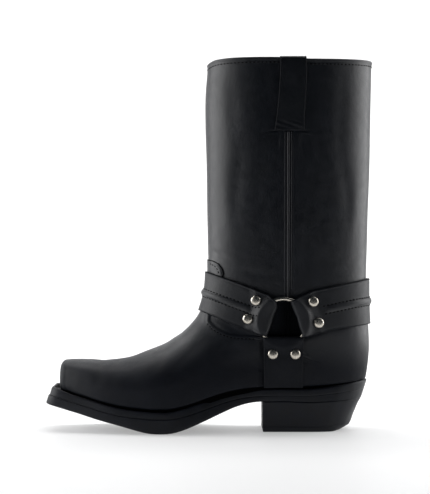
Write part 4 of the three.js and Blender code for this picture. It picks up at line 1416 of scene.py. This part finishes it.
build_sole()
build_heel()
build_upper()
strap_piece("harness_front", FRONT_BOTTOM, FRONT_TOP, FRONT_END, True, "strap_front")
strap_piece("harness_back", BACK_BOTTOM, BACK_TOP, BACK_END, False, "strap_back")
trim_piece("strip_front", FRONT_STRIP, -1.28, True, "strap_trim_front", FRONT_END)
trim_piece("strip_back", BACK_STRIP, 1.75, False, "strap_trim_back", BACK_END)
for side_name, side in (("outer", OUTER), ("inner", INNER)):
    side_strap_piece(f"drop_strap_{side_name}", side, f"side_strap_{side_name}")
    ring_piece(f"harness_ring_{side_name}", side, f"ring_{side_name}")
    for i, spot in enumerate(RIVETS):
        rivet_piece(f"cap_{side_name}_{i + 1}", spot, side, f"rivet_{side_name}_{i + 1}")
    pull_piece(f"pull_{side_name}", side, f"pull_strap_{side_name}")
    piping_piece(f"piping_{side_name}", side, f"seam_piping_{side_name}")
collar_piece()
stitches()


# Stage, light and camera

def stage():
    mesh = bpy.data.meshes.new("floor")
    size, front, back, radius, rise = 4.0, -0.5, 1.3, 0.6, 3.5
    profile = [(front, 0.0), (back, 0.0)]
    for k in range(1, 13):
        angle = math.pi / 2 * k / 12
        profile.append((back + radius * math.sin(angle), radius * (1 - math.cos(angle))))
    profile.append((back + radius, rise))
    points = [(side * size, y, z) for y, z in profile for side in (-1, 1)]
    faces = [(2 * k, 2 * k + 1, 2 * k + 3, 2 * k + 2) for k in range(len(profile) - 1)]
    mesh.from_pydata(points, [], faces)
    mesh.shade_smooth()
    floor = bpy.data.objects.new("floor", mesh)
    bpy.context.scene.collection.objects.link(floor)
    n = Nodes("studio_white")
    n.shade({"Base Color": (0.56, 0.56, 0.562, 1), "Emission Color": (1.0, 1.0, 1.0, 1),
             "Emission Strength": 0.34, "Roughness": 0.55, "Specular IOR Level": 0.35})
    mesh.materials.append(n.material)


def area_light(name, place, target, size, power):
    data = bpy.data.lights.new(name, "AREA")
    data.shape = "RECTANGLE"
    data.size, data.size_y = size
    data.energy = power
    light = bpy.data.objects.new(name, data)
    light.location = place
    light.rotation_euler = (Vector(target) - Vector(place)).to_track_quat("-Z", "Y").to_euler()
    bpy.context.scene.collection.objects.link(light)


def studio():
    """White cove lit from above and behind, a soft box on each side, and a pale room that lights little."""
    world = bpy.data.worlds.new("studio")
    world.use_nodes = True
    tree = world.node_tree
    room = tree.nodes["Background"]
    room.inputs["Color"].default_value = (0.70, 0.86, 1.0, 1)
    room.inputs["Strength"].default_value = 0.03
    wall = tree.nodes.new("ShaderNodeBackground")
    wall.inputs["Color"].default_value = (0.90, 0.905, 0.91, 1)
    sort = tree.nodes.new("ShaderNodeMixShader")
    tree.links.new(tree.nodes.new("ShaderNodeLightPath").outputs["Is Camera Ray"], sort.inputs[0])
    tree.links.new(room.outputs[0], sort.inputs[1])
    tree.links.new(wall.outputs[0], sort.inputs[2])
    tree.links.new(sort.outputs[0], tree.nodes["World Output"].inputs["Surface"])
    bpy.context.scene.world = world
    bpy.context.scene.view_settings.view_transform = "Standard"
    area_light("left_box", (-1.25, 0.05, 0.45), (0, 0, 0.18), (1.2, 1.1), 16.2)
    area_light("right_box", (1.25, 0.25, 0.45), (0, 0, 0.2), (1.0, 1.1), 13.0)
    area_light("left_fill", (-1.15, -0.62, 0.5), (0, 0, 0.2), (0.7, 1.1), 1.15)
    area_light("right_fill", (1.2, -0.42, 0.5), (0, 0, 0.2), (0.6, 1.1), 1.2)
    area_light("top_box", (0.1, 0.45, 1.6), (0, 0.15, 0), (1.8, 0.9), 9.0)
    area_light("back_wash", (0, 0.7, 1.9), (0, 1.9, 0.5), (3.0, 0.8), 55.0)


FOCAL_MM = 117.0
SENSOR_MM = 36.0
CAMERA_PLACE = (0.0046, -1.547, 0.1747)


def camera():
    data = bpy.data.cameras.new("camera")
    data.sensor_fit = "AUTO"
    data.sensor_width = SENSOR_MM
    data.lens = FOCAL_MM
    data.clip_end = 20
    view = bpy.data.objects.new("camera", data)
    view.location = CAMERA_PLACE
    view.rotation_euler = (math.pi / 2, 0, 0)
    bpy.context.scene.collection.objects.link(view)
    bpy.context.scene.camera = view


stage()
studio()
camera()
